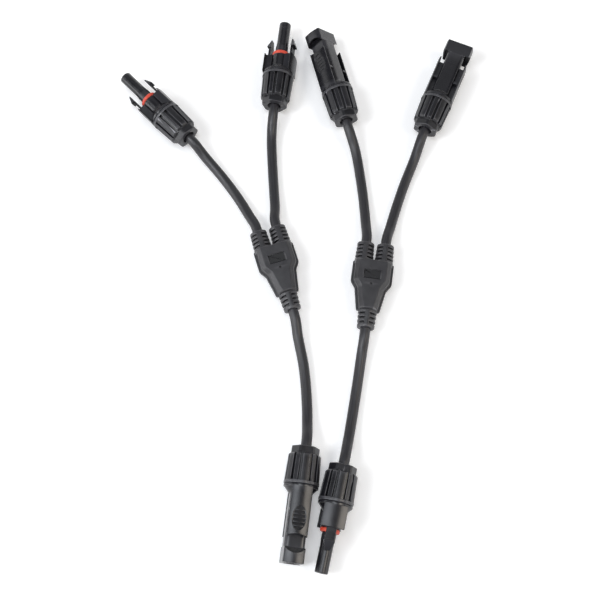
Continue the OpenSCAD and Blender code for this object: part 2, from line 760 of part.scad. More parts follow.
module window_cut() {
    half = body_w / 2;
    deep = window_len / 2 + 1;
    head_r = sag_radius(window_sag);
    shell_arc_r = sag_radius(shell_sag);
    translate([tube_half, 0, 0]) rotate([0, 90, 0]) {
        linear_extrude(shell_r) intersection() {
            translate([head_r - head_z - window_sag, 0]) circle(head_r, $fn = 96);
            translate([-head_z - window_sag - 1, -half - 1]) square([deep + window_sag + 1, 2 * half + 2]);
        }
        linear_extrude(shell_r) intersection() {
            translate([shell_sag - window_z - shell_arc_r, 0]) circle(shell_arc_r, $fn = 96);
            translate([-window_z - deep, -half - 1]) square([deep + shell_sag + 1, 2 * half + 2]);
        }
    }
}

// The thumb grip on a shell: a shallow lens-shaped dish with cross ribs
module grip_dish() {
    lens_r = (grip_len ^ 2 + grip_w ^ 2) / (4 * grip_w);
    mid = window_z - grip_back - grip_len / 2;
    rib_step = grip_len / (grip_ribs + 1);
    difference() {
        translate([shell_crown - grip_depth, 0, mid]) rotate([0, 90, 0]) linear_extrude(2) intersection() {
            for (s = [-1, 1]) translate([0, s * (lens_r - grip_w / 2)]) circle(lens_r, $fn = 96);
        }
        for (i = [1 : grip_ribs])
            translate([0, -grip_w, mid - grip_len / 2 + i * rib_step - grip_rib_w / 2])
                cube([shell_crown - grip_depth / 5, 2 * grip_w, grip_rib_w]);
    }
}

module socket_housing() {
    color(plastic) difference() {
        union() {
            gland_end();
            socket_body();
            socket_head();
            both_sides() {
                side_plate(channel_out, shell_crown, body_w, shell_r, body_at - eps, window_z + window_lead);
                translate([tube_half - eps, -body_w / 2, body_at + web_at])
                    cube([channel_out - tube_half + 2 * eps, body_w, web_t]);
                translate([tube_half - eps, -spine_half, body_at])
                    cube([channel_out - tube_half + 2 * eps, 2 * spine_half, shell_len - spine_back]);
            }
        }
        gland_bores();
        translate([0, 0, clip_end]) cylinder(d = contact_d + 2 * fit_gap, h = mate_z - clip_end + 1);
        translate([0, 0, mate_z]) cylinder(d = mate_deep_d, h = mate_depth + 1);
        translate([0, 0, mate_step_z]) cylinder(d = mate_d, h = mate_depth);
        both_sides() {
            window_cut();
            grip_dish();
            translate([tube_half + eps, -channel_w / 2, head_z - 1])
                cube([channel_out - tube_half, channel_w, head_len + 2]);
        }
    }
}

// Which module makes which piece
module piece(c, p) {
    is_plug = c[1] == "plug";
    if (p == "housing" && is_plug) plug_housing();
    if (p == "housing" && !is_plug) socket_housing();
    if (p == "contact" && is_plug) plug_contact();
    if (p == "contact" && !is_plug) socket_contact();
    if (p == "contact_clip") contact_clip();
    if (p == "gland_seal") gland_seal();
    if (p == "clamp_ring") clamp_ring();
    if (p == "nut") nut();
    if (p == "seal_ring") seal_ring();
    if (p == "latch_arm_a") latch_arm();
    if (p == "latch_arm_b") rotate([0, 0, 180]) latch_arm();
}

for (b = branches) {
    lay_branch(b) moulding();
    lay_branch(b) splice();
    lay_branch(b) cores();
}
for (c = connectors) {
    for (p = pieces(c)) lay_connector(c) piece(c, p);
    cable(c);
}
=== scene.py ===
import json
import math

import bmesh
import bpy
from mathutils import Matrix, Vector


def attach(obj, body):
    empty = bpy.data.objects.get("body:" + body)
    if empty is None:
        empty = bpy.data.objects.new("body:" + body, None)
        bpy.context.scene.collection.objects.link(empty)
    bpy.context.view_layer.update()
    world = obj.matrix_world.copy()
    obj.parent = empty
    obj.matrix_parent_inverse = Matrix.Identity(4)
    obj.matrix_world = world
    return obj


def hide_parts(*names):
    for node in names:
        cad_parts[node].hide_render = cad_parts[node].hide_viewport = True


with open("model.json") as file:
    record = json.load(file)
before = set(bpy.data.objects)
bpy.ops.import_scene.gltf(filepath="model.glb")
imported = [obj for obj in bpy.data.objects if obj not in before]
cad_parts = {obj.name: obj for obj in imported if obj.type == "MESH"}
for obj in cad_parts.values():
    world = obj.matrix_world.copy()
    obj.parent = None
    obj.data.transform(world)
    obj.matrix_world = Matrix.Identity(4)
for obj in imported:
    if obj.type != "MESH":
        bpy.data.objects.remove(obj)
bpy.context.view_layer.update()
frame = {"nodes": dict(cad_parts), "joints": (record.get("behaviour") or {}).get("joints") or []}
nodes = frame["nodes"]
joints = {joint["name"]: joint for joint in frame["joints"]}
scene = bpy.context.scene
scene.view_settings.view_transform = "Standard"
mm = 0.001   # pieces are drawn in millimetres on their own axis, then laid down in metres


def addObject(name, data):
    made = bpy.data.objects.new(name, data)
    scene.collection.objects.link(made)
    return made


def aim(thing, target):
    way = Vector(target) - thing.location
    thing.rotation_euler = way.to_track_quat("-Z", "Y").to_euler()


# the camera looks down on the table from its near side
view = {
    "lens": 60,
    "eye": (0.00134, -0.2019, 0.5754),
    "target": (0.00134, -0.0127, 0.0),
}
camera = addObject("camera", bpy.data.cameras.new("camera"))
camera.data.lens = view["lens"]
camera.location = view["eye"]
aim(camera, view["target"])
scene.camera = camera
print("camera placed")


# where the two branches lie: middle of the twin end, and heading from the twin to the single end
branches = {
    "left": {"twinEnd": (-0.01506, 0.0181, 0.0075), "heading": -73},
    "right": {"twinEnd": (0.04584, 0.0081, 0.0075), "heading": -98},
}

# the six connectors: their port on the branch, roll about their own axis, and the cable's way there
connectors = {
    "left_plug_1": {
        "kind": "plug", "branch": "left", "port": 0, "roll": 73,
        "route": [(-0.03016, 0.0406, 0.005), (-0.03766, 0.0536, 0.0034),
                  (-0.04726, 0.0671, 0.0035), (-0.05836, 0.0801, 0.006)],
    },
    "left_plug_2": {
        "kind": "plug", "branch": "left", "port": 1, "roll": 72,
        "route": [(-0.01416, 0.0466, 0.0046), (-0.01516, 0.0616, 0.0034),
                  (-0.01616, 0.0786, 0.0034), (-0.01666, 0.0956, 0.005)],
    },
    "left_socket": {
        "kind": "socket", "branch": "left", "port": 2, "roll": 172,
        "route": [(0.00014, -0.0374, 0.0046), (0.00344, -0.0544, 0.0034),
                  (0.00514, -0.0724, 0.0034), (0.00554, -0.0894, 0.005)],
    },
    "right_socket_1": {
        "kind": "socket", "branch": "right", "port": 0, "roll": 138,
        "route": [(0.04184, 0.0351, 0.0048), (0.04084, 0.0516, 0.0034),
                  (0.03904, 0.0681, 0.0034), (0.03634, 0.0846, 0.0052)],
    },
    "right_socket_2": {
        "kind": "socket", "branch": "right", "port": 1, "roll": 90,
        "route": [(0.05684, 0.0326, 0.0048), (0.06134, 0.0471, 0.0034),
                  (0.06674, 0.0626, 0.0034), (0.07324, 0.0786, 0.0052)],
    },
    "right_plug": {
        "kind": "plug", "branch": "right", "port": 2, "roll": 175,
        "route": [(0.03764, -0.0484, 0.0048), (0.03514, -0.0644, 0.0034),
                  (0.03244, -0.0804, 0.0034), (0.02934, -0.0974, 0.0052)],
    },
}


def pick(spec, *keys):
    return [spec[key] for key in keys]


def rearOf(name):
    return Vector(joints[name + "_nut_turn"]["pos_m"])


def aheadOf(name):
    return -Vector(joints[name + "_nut_turn"]["axis"]).normalized()


def bodyOf(name):
    return connectors[name]["branch"] + "_branch"


# a connector's own z runs along its axis, and its windows or latch arms are on its x sides
def connectorPlace(name):
    ahead = aheadOf(name)
    up = Vector((0, 0, 1))
    left = up.cross(ahead)
    roll = math.radians(connectors[name]["roll"])
    xWay = math.sin(roll) * left - math.cos(roll) * up
    yWay = math.cos(roll) * left + math.sin(roll) * up
    turn = Matrix((xWay, yWay, ahead)).transposed().to_4x4()
    return Matrix.Translation(rearOf(name)) @ turn


def branchPlace(name):
    spec = branches[name]
    return Matrix.Translation(spec["twinEnd"]) @ Matrix.Rotation(math.radians(spec["heading"]), 4, "Z")


# nodes of the finishes and of the geometry trees

def addNode(tree, kind, values=None, links=None, **settings):
    made = tree.nodes.new(kind)
    for key, value in settings.items():
        setattr(made, key, value)
    for key, value in (values or {}).items():
        made.inputs[key].default_value = value
    for key, source in (links or {}).items():
        tree.links.new(source, made.inputs[key])
    return made


# each term is a number or the output of another node
def calc(tree, operation, *terms):
    made = addNode(tree, "ShaderNodeMath", operation=operation)
    for place, term in zip(made.inputs, terms):
        if isinstance(term, (int, float)):
            place.default_value = term
        else:
            tree.links.new(term, place)
    return made.outputs["Value"]


def remap(tree, value, source, target):
    ends = dict(zip(("From Min", "From Max", "To Min", "To Max"), (*source, *target)))
    return addNode(tree, "ShaderNodeMapRange", ends, {"Value": value}).outputs["Result"]


def objectCoords(tree):
    return addNode(tree, "ShaderNodeTexCoord").outputs["Object"]


def addNoise(tree, coords, scale, detail, roughness=0.5):
    values = {"Scale": scale, "Detail": detail, "Roughness": roughness}
    return addNode(tree, "ShaderNodeTexNoise", values, {"Vector": coords}).outputs["Fac"]


# from the dark to the light colour of a finish
def addRamp(tree, source, spec, span):
    ramp = addNode(tree, "ShaderNodeValToRGB", links={"Fac": source})
    for stop, place, colour in zip(ramp.color_ramp.elements, span, (spec["dark"], spec["light"])):
        stop.position = place
        stop.color = (*colour, 1)
    return ramp.outputs["Color"]


def blend(tree, share, base, colour):
    made = addNode(tree, "ShaderNodeMix", links={"Factor": share}, data_type="RGBA")
    tree.links.new(base, made.inputs["A"])
    made.inputs["B"].default_value = (*colour, 1)
    return made.outputs["Result"]


def newFinish(name, sockets):
    finish = bpy.data.materials.new(name)
    finish.use_nodes = True
    shader = finish.node_tree.nodes["Principled BSDF"]
    for key, value in sockets.items():
        shader.inputs[key].default_value = value
    return finish, finish.node_tree, shader


# the colour, a roughness that follows a pattern, and a fine bump
def dress(tree, shader, spec, colour, pattern, span, grain):
    rough = remap(tree, pattern, span, spec["rough"])
    height = {"Strength": spec["bump"], "Distance": spec["bumpDepth"]}
    bump = addNode(tree, "ShaderNodeBump", height, {"Height": grain}).outputs["Normal"]
    for key, source in (("Base Color", colour), ("Roughness", rough), ("Normal", bump)):
        tree.links.new(source, shader.inputs[key])


# a moulded surface: soft cloudiness, a fine grain, a painted highlight on its sharp edges and painted shade
# in its hollows
moulded = {
    "cloudSpan": (0.32, 0.68), "cloudDetail": 4.0, "roughSpan": (0.3, 0.7), "ridges": (0.515, 0.6),
    "hollows": (0.49, 0.42), "hollow": 0.8, "hollowShadeColour": (0.002, 0.002, 0.0022),
    "grainScale": 5200.0, "grainDetail": 3.0, "grainRoughness": 0.6, "bump": 0.12, "bumpDepth": 0.00004,
}


def mouldedFinish(name, own):
    spec = {**moulded, **own}
    finish, tree, shader = newFinish(name, {"Specular IOR Level": spec["specular"]})
    coords = objectCoords(tree)
    cloud = addNoise(tree, coords, spec["cloudScale"], spec["cloudDetail"])
    grain = addNoise(tree, coords, spec["grainScale"], spec["grainDetail"], spec["grainRoughness"])
    colour = addRamp(tree, cloud, spec, spec["cloudSpan"])
    if "sunk" in spec:   # the floors of the moulding's recesses are coloured darker
        field = addNode(tree, "ShaderNodeAttribute", attribute_name="sunkField")
        colour = blend(tree, field.outputs["Fac"], colour, spec["sunk"])
    # from the surface's pointiness: the pale edge colour is a painted highlight along sharp edges, and the
    # dark hollow colour is painted shade in creases
    edge = addNode(tree, "ShaderNodeNewGeometry").outputs["Pointiness"]
    edgeHighlight = remap(tree, edge, spec["ridges"], (0.0, spec["edgeHighlight"]))
    colour = blend(tree, edgeHighlight, colour, spec["edge"])
    hollow = remap(tree, edge, spec["hollows"], (0.0, spec["hollow"]))
    colour = blend(tree, hollow, colour, spec["hollowShadeColour"])
    dress(tree, shader, spec, colour, cloud, spec["roughSpan"], grain)
    return finish


# each finish's edge colour is a painted highlight on its sharp edges, and its hollows get painted shade
connectorPlastic = mouldedFinish("connectorPlastic", {
    "dark": (0.007, 0.007, 0.009), "light": (0.011, 0.011, 0.014), "edge": (0.07, 0.07, 0.078),
    "edgeHighlight": 0.5, "specular": 0.42, "rough": (0.2, 0.28), "cloudScale": 120.0,
})
nutPlastic = mouldedFinish("nutPlastic", {
    "dark": (0.007, 0.007, 0.009), "light": (0.012, 0.012, 0.015), "edge": (0.24, 0.24, 0.26),
    "edgeHighlight": 1.0, "specular": 0.42, "rough": (0.26, 0.36), "cloudScale": 140.0,
})
mouldingPlastic = mouldedFinish("mouldingPlastic", {
    "dark": (0.02, 0.0195, 0.0225), "light": (0.032, 0.0315, 0.035), "edge": (0.16, 0.158, 0.168),
    "sunk": (0.006, 0.006, 0.0068), "edgeHighlight": 0.8, "specular": 0.5, "rough": (0.34, 0.45),
    "cloudScale": 160.0, "grainScale": 3600.0, "bump": 0.3, "bumpDepth": 0.00006,
})
clampPlastic = mouldedFinish("clampPlastic", {
    "dark": (0.05, 0.05, 0.055), "light": (0.07, 0.07, 0.076), "edge": (0.13, 0.13, 0.14),
    "edgeHighlight": 0.5, "specular": 0.45, "rough": (0.4, 0.5),
    "cloudScale": 200.0, "grainScale": 5000.0, "bump": 0.15,
})
glandRubber = mouldedFinish("glandRubber", {
    "dark": (0.018, 0.018, 0.02), "light": (0.03, 0.03, 0.033), "edge": (0.06, 0.06, 0.065),
    "edgeHighlight": 0.3, "specular": 0.3, "rough": (0.6, 0.75),
    "cloudScale": 260.0, "grainScale": 4000.0, "bump": 0.35, "bumpDepth": 0.00005,
})
sealRed = mouldedFinish("sealRed", {
    "dark": (0.60, 0.055, 0.028), "light": (0.72, 0.085, 0.045), "edge": (0.85, 0.2, 0.13),
    "edgeHighlight": 0.3, "hollow": 0.0, "specular": 0.45, "rough": (0.38, 0.5),
    "cloudScale": 300.0, "grainScale": 4200.0, "bump": 0.2,
})
print("moulded finishes made")


# a drawn metal with faint stains
metal = {"stainScale": 320.0, "grainScale": 6500.0, "bump": 0.1, "bumpDepth": 0.00003, "span": (0.3, 0.7)}


def metalFinish(name, dark, light, rough):
    spec = {**metal, "dark": dark, "light": light, "rough": rough}
    finish, tree, shader = newFinish(name, {"Metallic": 1.0})
    coords = objectCoords(tree)
    stain = addNoise(tree, coords, spec["stainScale"], 5.0)
    grain = addNoise(tree, coords, spec["grainScale"], 2.0)
    dress(tree, shader, spec, addRamp(tree, stain, spec, spec["span"]), stain, (0.0, 1.0), grain)
    return finish


contactMetal = metalFinish("contactMetal", (0.52, 0.5, 0.46), (0.72, 0.7, 0.66), (0.2, 0.38))
copper = metalFinish("copper", (0.62, 0.26, 0.13), (0.83, 0.42, 0.25), (0.25, 0.45))


# cable sheath: fine drawn lines along the cable
sheath = {
    "dark": (0.017, 0.0165, 0.0195), "light": (0.027, 0.0265, 0.03), "span": (0.3, 0.7),
    "specular": 0.42, "rough": (0.3, 0.42), "lineScale": (60.0, 90.0, 1.0),
    "grainScale": 3800.0, "bump": 0.22, "bumpDepth": 0.00005,
}


def sheathFinish(name, spec):
    finish, tree, shader = newFinish(name, {"Specular IOR Level": spec["specular"]})
    uv = addNode(tree, "ShaderNodeUVMap", uv_map="alongCable").outputs["UV"]
    drawn = addNode(tree, "ShaderNodeMapping", {"Scale": spec["lineScale"]}, {"Vector": uv})
    lines = addNoise(tree, drawn.outputs["Vector"], 1.0, 4.0)
    grain = addNoise(tree, objectCoords(tree), spec["grainScale"], 3.0)
    dress(tree, shader, spec, addRamp(tree, lines, spec, spec["span"]), lines, (0.0, 1.0), grain)
    return finish


cableSheath = sheathFinish("cableSheath", sheath)
print("metal and sheath finishes made")


# mesh helpers

def newPiece(name, points, faces):
    mesh = bpy.data.meshes.new(name)
    mesh.from_pydata([tuple(point) for point in points], [], faces)
    return addObject(name, mesh)


def settle(piece):
    graph = bpy.context.evaluated_depsgraph_get()
    mesh = bpy.data.meshes.new_from_object(piece.evaluated_get(graph))
    piece.modifiers.clear()
    piece.data = mesh


def join(name, parts):
    work = bmesh.new()
    for part in parts:
        work.from_mesh(part.data)
        bpy.data.objects.remove(part)
    mesh = bpy.data.meshes.new(name)
    work.to_mesh(mesh)
    work.free()
    return addObject(name, mesh)


# the pieces of one side, each with a copy that is turned half round z
def bothSides(pieces):
    halfTurn = Matrix.Rotation(math.pi, 4, "Z")
    whole = []
    for piece in pieces:
        mesh = piece.data.copy()
        mesh.transform(halfTurn)
        whole += [piece, addObject(piece.name, mesh)]
    return whole


# merges points that coincide, fills holes and turns all faces outwards
def clean(piece, merge=0.0, fill=False):
    work = bmesh.new()
    work.from_mesh(piece.data)
    if merge:
        bmesh.ops.remove_doubles(work, verts=work.verts, dist=merge)
    if fill:
        bmesh.ops.holes_fill(work, edges=work.edges)
    bmesh.ops.recalc_face_normals(work, faces=work.faces)
    work.to_mesh(piece.data)
    work.free()


def cutAway(piece, cutters):
    for cutter in cutters:
        cut = piece.modifiers.new("cut", "BOOLEAN")
        cut.operation = "DIFFERENCE"
        cut.solver = "EXACT"
        cut.object = cutter
        settle(piece)
        bpy.data.objects.remove(cutter)


# lays a piece that was drawn in millimetres in its place, with clean normals
def layDown(piece, place, finish, sharp=38):
    clean(piece, merge=0.0008)
    piece.data.transform(place @ Matrix.Scale(mm, 4))
    piece.data.shade_smooth()
    piece.data.set_sharp_from_angle(angle=math.radians(sharp))
    piece.data.materials.clear()
    piece.data.materials.append(finish)
    weighted = piece.modifiers.new("normals", "WEIGHTED_NORMAL")
    weighted.keep_sharp = True
    settle(piece)


def standFor(piece, node, body):
    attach(piece, body)
    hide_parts(node)


def smooth(low, high, value):
    u = min(max((value - low) / (high - low), 0.0), 1.0)
    return u * u * (3 - 2 * u)


def mix(a, b, u):
    return a + (b - a) * u


# rounds the corners (x, y, radius) of a closed outline
def roundCorners(corners, steps):
    outline = []
    for i, (x, y, radius) in enumerate(corners):
        here = Vector((x, y))
        back = Vector(corners[i - 1][:2]) - here
        onward = Vector(corners[(i + 1) % len(corners)][:2]) - here
        angle = back.angle(onward)
        if radius <= 0 or angle > math.pi - 0.01:
            outline.append(here)
            continue
        reach = radius / math.tan(angle / 2)
        limit = 0.48 * min(back.length, onward.length)   # so that two corners never meet on an edge
        if reach > limit:
            radius, reach = radius * limit / reach, limit
        start = here + back.normalized() * reach
        end = here + onward.normalized() * reach
        middle = here + (back.normalized() + onward.normalized()).normalized() * radius / math.sin(angle / 2)
        sweep = math.pi - angle
        for k in range(steps + 1):
            fromStart = math.sin((1 - k / steps) * sweep) / math.sin(sweep)
            fromEnd = math.sin(k / steps * sweep) / math.sin(sweep)
            outline.append(middle + (start - middle) * fromStart + (end - middle) * fromEnd)
    return outline


def inset(outline, depth):
    moved = []
    for i, here in enumerate(outline):
        way = outline[(i + 1) % len(outline)] - outline[i - 1]
        moved.append(here + Vector((-way.y, way.x)).normalized() * depth)
    return moved


# the faces between rows of points, which may close on themselves either way
def gridFaces(rows, columns, closeRows=False, closeColumns=True):
    faces = []
    for i in range(rows if closeRows else rows - 1):
        n = (i + 1) % rows
        for j in range(columns if closeColumns else columns - 1):
            k = (j + 1) % columns
            faces.append((i * columns + j, i * columns + k, n * columns + k, n * columns + j))
    return faces


# joins rings of points into one skin
def loft(name, rings, capStart=True, capEnd=True):
    count = len(rings[0])
    last = (len(rings) - 1) * count
    faces = gridFaces(len(rings), count)
    if capStart:
        faces.append(tuple(reversed(range(count))))
    if capEnd:
        faces.append(tuple(range(last, last + count)))
    return newPiece(name, [point for ring in rings for point in ring], faces)


# a straight bar along z with rounded ends
def roundedBar(name, outline, low, high, edge, steps=3):
    turns = [math.pi / 2 * k / steps for k in range(steps + 1)]
    rings = []
    for end, way, angles in ((low, 1, turns), (high, -1, reversed(turns))):
        for turn in angles:
            z = end + way * edge * (1 - math.cos(turn))
            rings.append([(p.x, p.y, z) for p in inset(outline, edge * (1 - math.sin(turn)))])
    return loft(name, rings)


def roundedBox(xSpan, ySpan, edge):
    (x0, x1), (y0, y1) = xSpan, ySpan
    return roundCorners([(x0, y0, edge), (x1, y0, edge), (x1, y1, edge), (x0, y1, edge)], 3)


def roundedBlock(name, xSpan, ySpan, zSpan, edge):
    return roundedBar(name, roundedBox(xSpan, ySpan, edge), *zSpan, edge * 0.9)


# turns rows (z, radius or radius by angle) around z; a closed skin joins the last row to the first
def turned(name, rows, columns, closed=True):
    points = []
    for z, radius in rows:
        for j in range(columns):
            angle = 2 * math.pi * j / columns
            r = radius(angle) if callable(radius) else radius
            points.append((r * math.cos(angle), r * math.sin(angle), z))
    return newPiece(name, points, gridFaces(len(rows), columns, closeRows=closed))


# geometry trees

def newTree(name, inputs):
    tree = bpy.data.node_groups.new(name, "GeometryNodeTree")
    tree.interface.new_socket("Geometry", in_out="INPUT", socket_type="NodeSocketGeometry")
    for label, kind in inputs.items():
        tree.interface.new_socket(label, in_out="INPUT", socket_type=kind)
    tree.interface.new_socket("Geometry", in_out="OUTPUT", socket_type="NodeSocketGeometry")
    return tree, tree.nodes.new("NodeGroupInput"), tree.nodes.new("NodeGroupOutput")


# sets the given piece on the spots, makes the copies real and gives them the finish
def endTree(tree, given, result, spots, weld=0.0):
    links = {"Instance": given.outputs["Geometry"], **spots}
    copies = addNode(tree, "GeometryNodeInstanceOnPoints", links=links).outputs["Instances"]
    real = addNode(tree, "GeometryNodeRealizeInstances", links={"Geometry": copies}).outputs["Geometry"]
    if weld:
        welded = addNode(tree, "GeometryNodeMergeByDistance", {"Distance": weld}, {"Geometry": real})
        real = welded.outputs["Geometry"]
    links = {"Geometry": real, "Material": given.outputs["Finish"]}
    dressed = addNode(tree, "GeometryNodeSetMaterial", links=links).outputs["Geometry"]
    tree.links.new(dressed, result.inputs["Geometry"])
    return tree


def runTree(piece, tree, values):
    modifier = piece.modifiers.new(tree.name, "NODES")
    modifier.node_group = tree
    for item in tree.interface.items_tree:
        if item.item_type == "SOCKET" and item.in_out == "INPUT" and item.name in values:
            modifier[item.identifier] = values[item.name]
    settle(piece)


# the branch moulding, along x from its twin end, and its boots
moulding = {
    "length": 31, "shoulderWidth": 24.8, "waistWidth": 18.4, "endWidth": 14, "shoulderAt": 12, "waistAt": 19,
    "height": 15, "lipThickness": 1.6, "lipWidth": 1.2, "bevelWidth": 3, "bevelHeight": 2.4, "endRound": 1,
    "bootPitch": 12, "labelLength": 10.5, "labelWidth": 6, "labelAt": 9.4, "recess": 0.4,
    "gateDiameter": 1.4, "gateAt": 15.5, "cableIn": 4, "topSplit": 0.69, "waistSteps": 14, "floorRings": 3,
}
boot = {
    "length": 12, "tailLength": 10.5, "rootRadius": 5.7, "endRadius": 5.2, "floorRadius": 4.1,
    "holeRadius": 3.15, "grooves": 4, "tailGrooves": 3, "grooveWidth": 1.1, "spineWidth": 3, "lead": 3,
    "sunkRoot": 2.0, "endShare": 0.8,
}
cable = {"diameter": 6.2, "sides": 32, "steps": 5, "nutLead": 2, "end": 21.75, "sharp": 50}


def portSide(port):
    return 0 if port == 2 else (port - 0.5) * moulding["bootPitch"]


def cablePath(name):
    spec = connectors[name]
    place = branchPlace(spec["branch"])
    side = portSide(spec["port"]) * mm
    inner, outer = moulding["cableIn"], -boot["length"] - boot["lead"]
    if spec["port"] == 2:
        inner = moulding["length"] - moulding["cableIn"]
        outer = moulding["length"] + boot["tailLength"] + boot["lead"]
    start = place @ Vector((inner * mm, side, 0))
    leave = place @ Vector((outer * mm, side, 0))
    ahead = aheadOf(name)
    stop = rearOf(name) - cable["nutLead"] * mm * ahead
    knots = [leave] + [Vector(point) for point in spec["route"]] + [stop]
    ways = [(leave - start).normalized()]
    ways += [(knots[i + 1] - knots[i - 1]).normalized() for i in range(1, len(knots) - 1)]
    ways += [ahead]
    path = [start]
    for i in range(len(knots) - 1):
        a, b = knots[i], knots[i + 1]
        size = (b - a).length
        for k in range(cable["steps"]):
            u = k / cable["steps"]
            path.append(a * (2 * u ** 3 - 3 * u ** 2 + 1) + ways[i] * size * (u ** 3 - 2 * u ** 2 + u)
                        + b * (3 * u ** 2 - 2 * u ** 3) + ways[i + 1] * size * (u ** 3 - u ** 2))
    return path + [stop, rearOf(name) + cable["end"] * mm * ahead]


def makeCable(name):
    path = cablePath(name)
    sides = cable["sides"]
    radius = cable["diameter"] / 2 * mm
    along = [0.0]
    for a, b in zip(path, path[1:]):
        along.append(along[-1] + (b - a).length)
    rings = []
    for i, here in enumerate(path):
        way = (path[min(i + 1, len(path) - 1)] - path[max(i - 1, 0)]).normalized()
        side = Vector((0, 0, 1)).cross(way).normalized()
        up = way.cross(side)
        turns = [2 * math.pi * j / sides for j in range(sides)]
        rings.append([here + radius * (math.cos(turn) * side + math.sin(turn) * up) for turn in turns])
    uvs = [((j + across) / sides, along[i + onward]) for i in range(len(path) - 1) for j in range(sides)
           for across, onward in ((0, 0), (1, 0), (1, 1), (0, 1))]
    uvs += [(0.5, 0.0)] * sides + [(0.5, along[-1])] * sides
    piece = loft(name + "_sheath", rings)
    layer = piece.data.uv_layers.new(name="alongCable")
    for loop, uv in zip(layer.data, uvs):
        loop.uv = uv
    piece.data.shade_smooth()
    piece.data.set_sharp_from_angle(angle=math.radians(cable["sharp"]))
    piece.data.materials.append(cableSheath)
    tuple(path[0])
    [tuple(point) for point in path]
    standFor(piece, name + "_cable", bodyOf(name))


for name in connectors:
    makeCable(name)
print("cables laid")


# the gland nut: one sixth of it is drawn, and the tree sets six of them around the axis
nut = {
    "length": 21.5, "hexFlat": 7.3, "hexCorner": 8.0, "hexLength": 4.1, "holeRadius": 4.2, "boreRadius": 7.2,
    "floor": 4.4, "grooveRadius": 8.1, "gripRadius": 8.7, "rearRadius": 9.3, "frontRadius": 9.9,
    "ringRadius": 10.1, "ringAt": 19.8, "chamfer": 1.0, "ribPairs": 6, "wideShare": 0.57, "grooveWidth": 1.5,
    "weld": 0.002,
}


def buildAroundTree():
    tree, given, result = newTree("aroundAxis", {"Count": "NodeSocketInt", "Finish": "NodeSocketMaterial"})
    spots = addNode(tree, "GeometryNodePoints", links={"Count": given.outputs["Count"]})
    index = addNode(tree, "GeometryNodeInputIndex").outputs["Index"]
    angle = calc(tree, "MULTIPLY", index, calc(tree, "DIVIDE", 2 * math.pi, given.outputs["Count"]))
    turn = addNode(tree, "ShaderNodeCombineXYZ", links={"Z": angle})
    around = {"Points": spots.outputs["Points"], "Rotation": turn.outputs["Vector"]}
    return endTree(tree, given, result, around, nut["weld"])


aroundTree = buildAroundTree()


# angles across one sixth of the nut, each with its share of the ribs' height
def nutColumns():
    perMm = math.degrees(1 / nut["gripRadius"])
    groove = 180 / nut["ribPairs"] * nut["wideShare"]   # from a wide rib's middle to the groove beside it
    half = nut["grooveWidth"] / 2
    walls = [(0.0, 0.0), (half - 0.3, 0.0), (half - 0.13, 0.03), (half - 0.05, 0.16), (half, 0.5),
             (half + 0.05, 0.86), (half + 0.13, 0.98), (half + 0.3, 1.0)]
    columns = [(0.0, 1.0), (2.5, 1.0), (5.0, 1.0), (8.0, 1.0)]
    columns += [(groove - off * perMm, share) for off, share in reversed(walls[1:])]
    columns += [(groove + off * perMm, share) for off, share in walls]
    flatEnd = math.degrees(math.acos(nut["hexFlat"] / nut["hexCorner"]))
    rest = [flatEnd - 0.25, flatEnd, flatEnd + 0.3]
    columns += [(angle, 1.0) for angle in rest if angle > columns[-1][0] + 0.05]
    columns += [(27.3, 1.0), (30.0, 1.0)]
    return [(-angle, share) for angle, share in reversed(columns[1:])] + columns


def ofKind(kind, *pairs):
    return [(kind, z, value) for z, value in pairs]


# rows along the nut and back through its bore: z and radius, or z and what is added to the hexagon
def nutRows():
    hexEnd, ringAt, length, floor, hole, bore = pick(
        nut, "hexLength", "ringAt", "length", "floor", "holeRadius", "boreRadius")
    groove, rear, front, ring = pick(nut, "grooveRadius", "rearRadius", "frontRadius", "ringRadius")
    grip = hexEnd + nut["chamfer"]

    def rib(z):
        return z, mix(rear, front, (z - grip) / (ringAt - grip))

    rows = ofKind("plain", (0.25, hole), (0.08, hole + 0.1), (0.0, hole + 0.3))
    rows += ofKind("hex", (0.0, -0.62), (0.05, -0.38), (0.18, -0.16), (0.36, -0.04), (0.6, 0.0),
                   (hexEnd - 0.25, 0.0), (hexEnd - 0.08, 0.03), (hexEnd, 0.12))
    rows += ofKind("plain", (hexEnd + 0.01, groove - 0.12), (hexEnd + 0.06, groove - 0.03))
    rows += ofKind("rib", (hexEnd + 0.16, groove + 0.17), (hexEnd + 0.5, groove + 0.58),
                   (grip - 0.2, rear - 0.25), (grip, rear - 0.07), rib(grip + 0.3),
                   rib(8.5), rib(11.5), rib(14.5), rib(17.5), rib(ringAt - 0.3), (ringAt - 0.02, front))
    rows += ofKind("plain", (ringAt, ring - 0.16), (ringAt + 0.05, ring - 0.05), (ringAt + 0.16, ring),
                   (length - 0.4, ring), (length - 0.18, ring - 0.05), (length - 0.05, ring - 0.18),
                   (length, ring - 0.4), (length, bore + 0.3), (length - 0.3, bore),
                   (floor + 0.2, bore), (floor, bore - 0.2), (floor, hole))
    return rows


def makeNut(name):
    columns, rows = nutColumns(), nutRows()
    points = []
    for kind, z, value in rows:
        for angle, share in columns:
            turn = math.radians(angle)
            radius = value
            if kind == "hex":
                limit = nut["grooveRadius"] - max(value, 0)
                radius = min(nut["hexFlat"] / math.cos(turn), nut["hexCorner"], limit) + value
            elif kind == "rib":
                radius = mix(nut["grooveRadius"], value, share)
            points.append((radius * math.cos(turn), radius * math.sin(turn), z))
    faces = gridFaces(len(rows), len(columns), closeRows=True, closeColumns=False)
    piece = newPiece(name + "_nut_grip", points, faces)
    runTree(piece, aroundTree, {"Count": nut["ribPairs"], "Finish": nutPlastic})
    layDown(piece, connectorPlace(name), nutPlastic, sharp=34)
    standFor(piece, name + "_nut", name + "_nut")


for name in connectors:
    makeNut(name)
print("gland nuts made")


